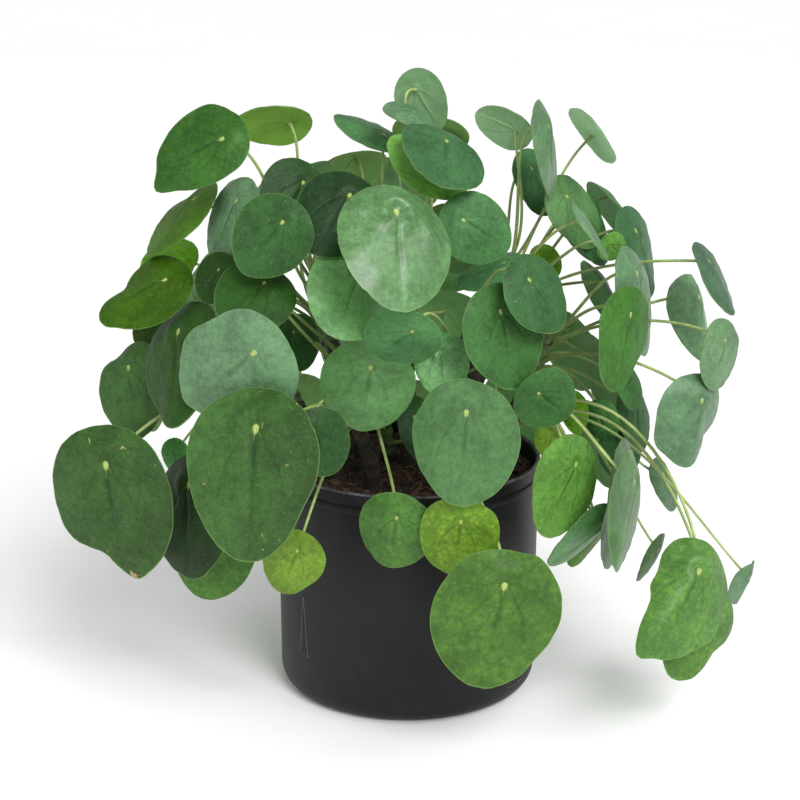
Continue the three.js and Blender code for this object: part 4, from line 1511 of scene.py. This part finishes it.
def sun(name, place, power, width):
    """Parallel light from a place, spread over so many degrees."""
    data = bpy.data.lights.new(name, "SUN")
    data.energy = power
    data.angle = math.radians(width)
    aimed(name, data, place, (0, 0, 0))


def soft_box(name, place, size, power):
    """A large square light, turned towards the plant."""
    data = bpy.data.lights.new(name, "AREA")
    data.size = size
    data.energy = power
    aimed(name, data, place, (0, 0, 0.2))


def studio_floor(width):
    """A wide flat floor."""
    deselect()
    bpy.ops.mesh.primitive_plane_add(size=1, location=(0, 0, 0))
    floor = bpy.context.object
    floor.name = "studio_floor"
    bpy.ops.object.mode_set(mode="EDIT")
    bpy.ops.transform.resize(value=(width, width, 1))
    bpy.ops.mesh.subdivide(number_cuts=3)
    bpy.ops.object.mode_set(mode="OBJECT")
    return floor


def white_sky(strength):
    """Even white light from all round."""
    world = bpy.data.worlds.new("studio")
    world.use_nodes = True
    sky = world.node_tree.nodes["Background"].inputs
    sky["Color"].default_value = (1, 1, 1, 1)
    sky["Strength"].default_value = strength
    return world


def view_camera():
    """The camera that the leaf rows are given for."""
    data = bpy.data.cameras.new("camera")
    data.sensor_width = SENSOR_WIDTH
    data.lens = VIEW_FOCAL * SENSOR_WIDTH / (2 * VIEW_CENTRE)
    camera = place_in_scene("camera", data)
    camera.location = VIEW_EYE * MM
    camera.rotation_euler = (math.radians(90) - VIEW_PITCH, 0, 0)
    return camera


class PLANT_OT_stage(Operator):
    """Make the floor, the soft studio light and the camera"""

    bl_idname = "plant.stage"
    bl_label = "Stage"

    def execute(self, context):
        floor = studio_floor(width=14)
        give(floor, material_floor())
        sun("key", (0.45, -1.0, 0.85), power=2.5, width=30)
        soft_box("left front", (-1.0, -1.2, 0.58), size=0.8, power=4.4)
        soft_box("upper right", (1.15, -0.55, 1.45), size=0.9, power=9)
        context.scene.world = white_sky(strength=0.54)
        context.scene.camera = view_camera()
        context.scene.view_settings.view_transform = "Standard"
        return {"FINISHED"}


class PLANT_PT_panel(Panel):
    """The sidebar panel of the plant"""

    bl_label = "Money Plant"
    bl_idname = "PLANT_PT_panel"
    bl_space_type = "VIEW_3D"
    bl_region_type = "UI"
    bl_category = "Money Plant"

    def draw(self, context):
        column = self.layout.column()
        for name in PlantSizes.__annotations__:
            column.prop(context.scene.plant_sizes, name)
        for name in PlantColours.__annotations__:
            column.prop(context.scene.plant_colours, name)
        for operator in OPERATORS:
            column.operator(operator.bl_idname)


OPERATORS = (PLANT_OT_stage, PLANT_OT_pot, PLANT_OT_soil, PLANT_OT_stems, PLANT_OT_stalks, PLANT_OT_leaves)
CLASSES = (PlantSizes, PlantColours, *OPERATORS, PLANT_PT_panel)


def register():
    for item in CLASSES:
        bpy.utils.register_class(item)
    bpy.types.Scene.plant_sizes = PointerProperty(type=PlantSizes)
    bpy.types.Scene.plant_colours = PointerProperty(type=PlantColours)


def unregister():
    del bpy.types.Scene.plant_colours
    del bpy.types.Scene.plant_sizes
    for item in reversed(CLASSES):
        bpy.utils.unregister_class(item)


def main():
    """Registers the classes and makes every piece."""
    register()
    noise.seed_set(NOISE_SEED)
    bpy.ops.plant.stage()
    bpy.ops.plant.pot()
    bpy.ops.plant.soil()
    bpy.ops.plant.stems()
    bpy.ops.plant.stalks()
    bpy.ops.plant.leaves()


if __name__ == "__main__":
    main()
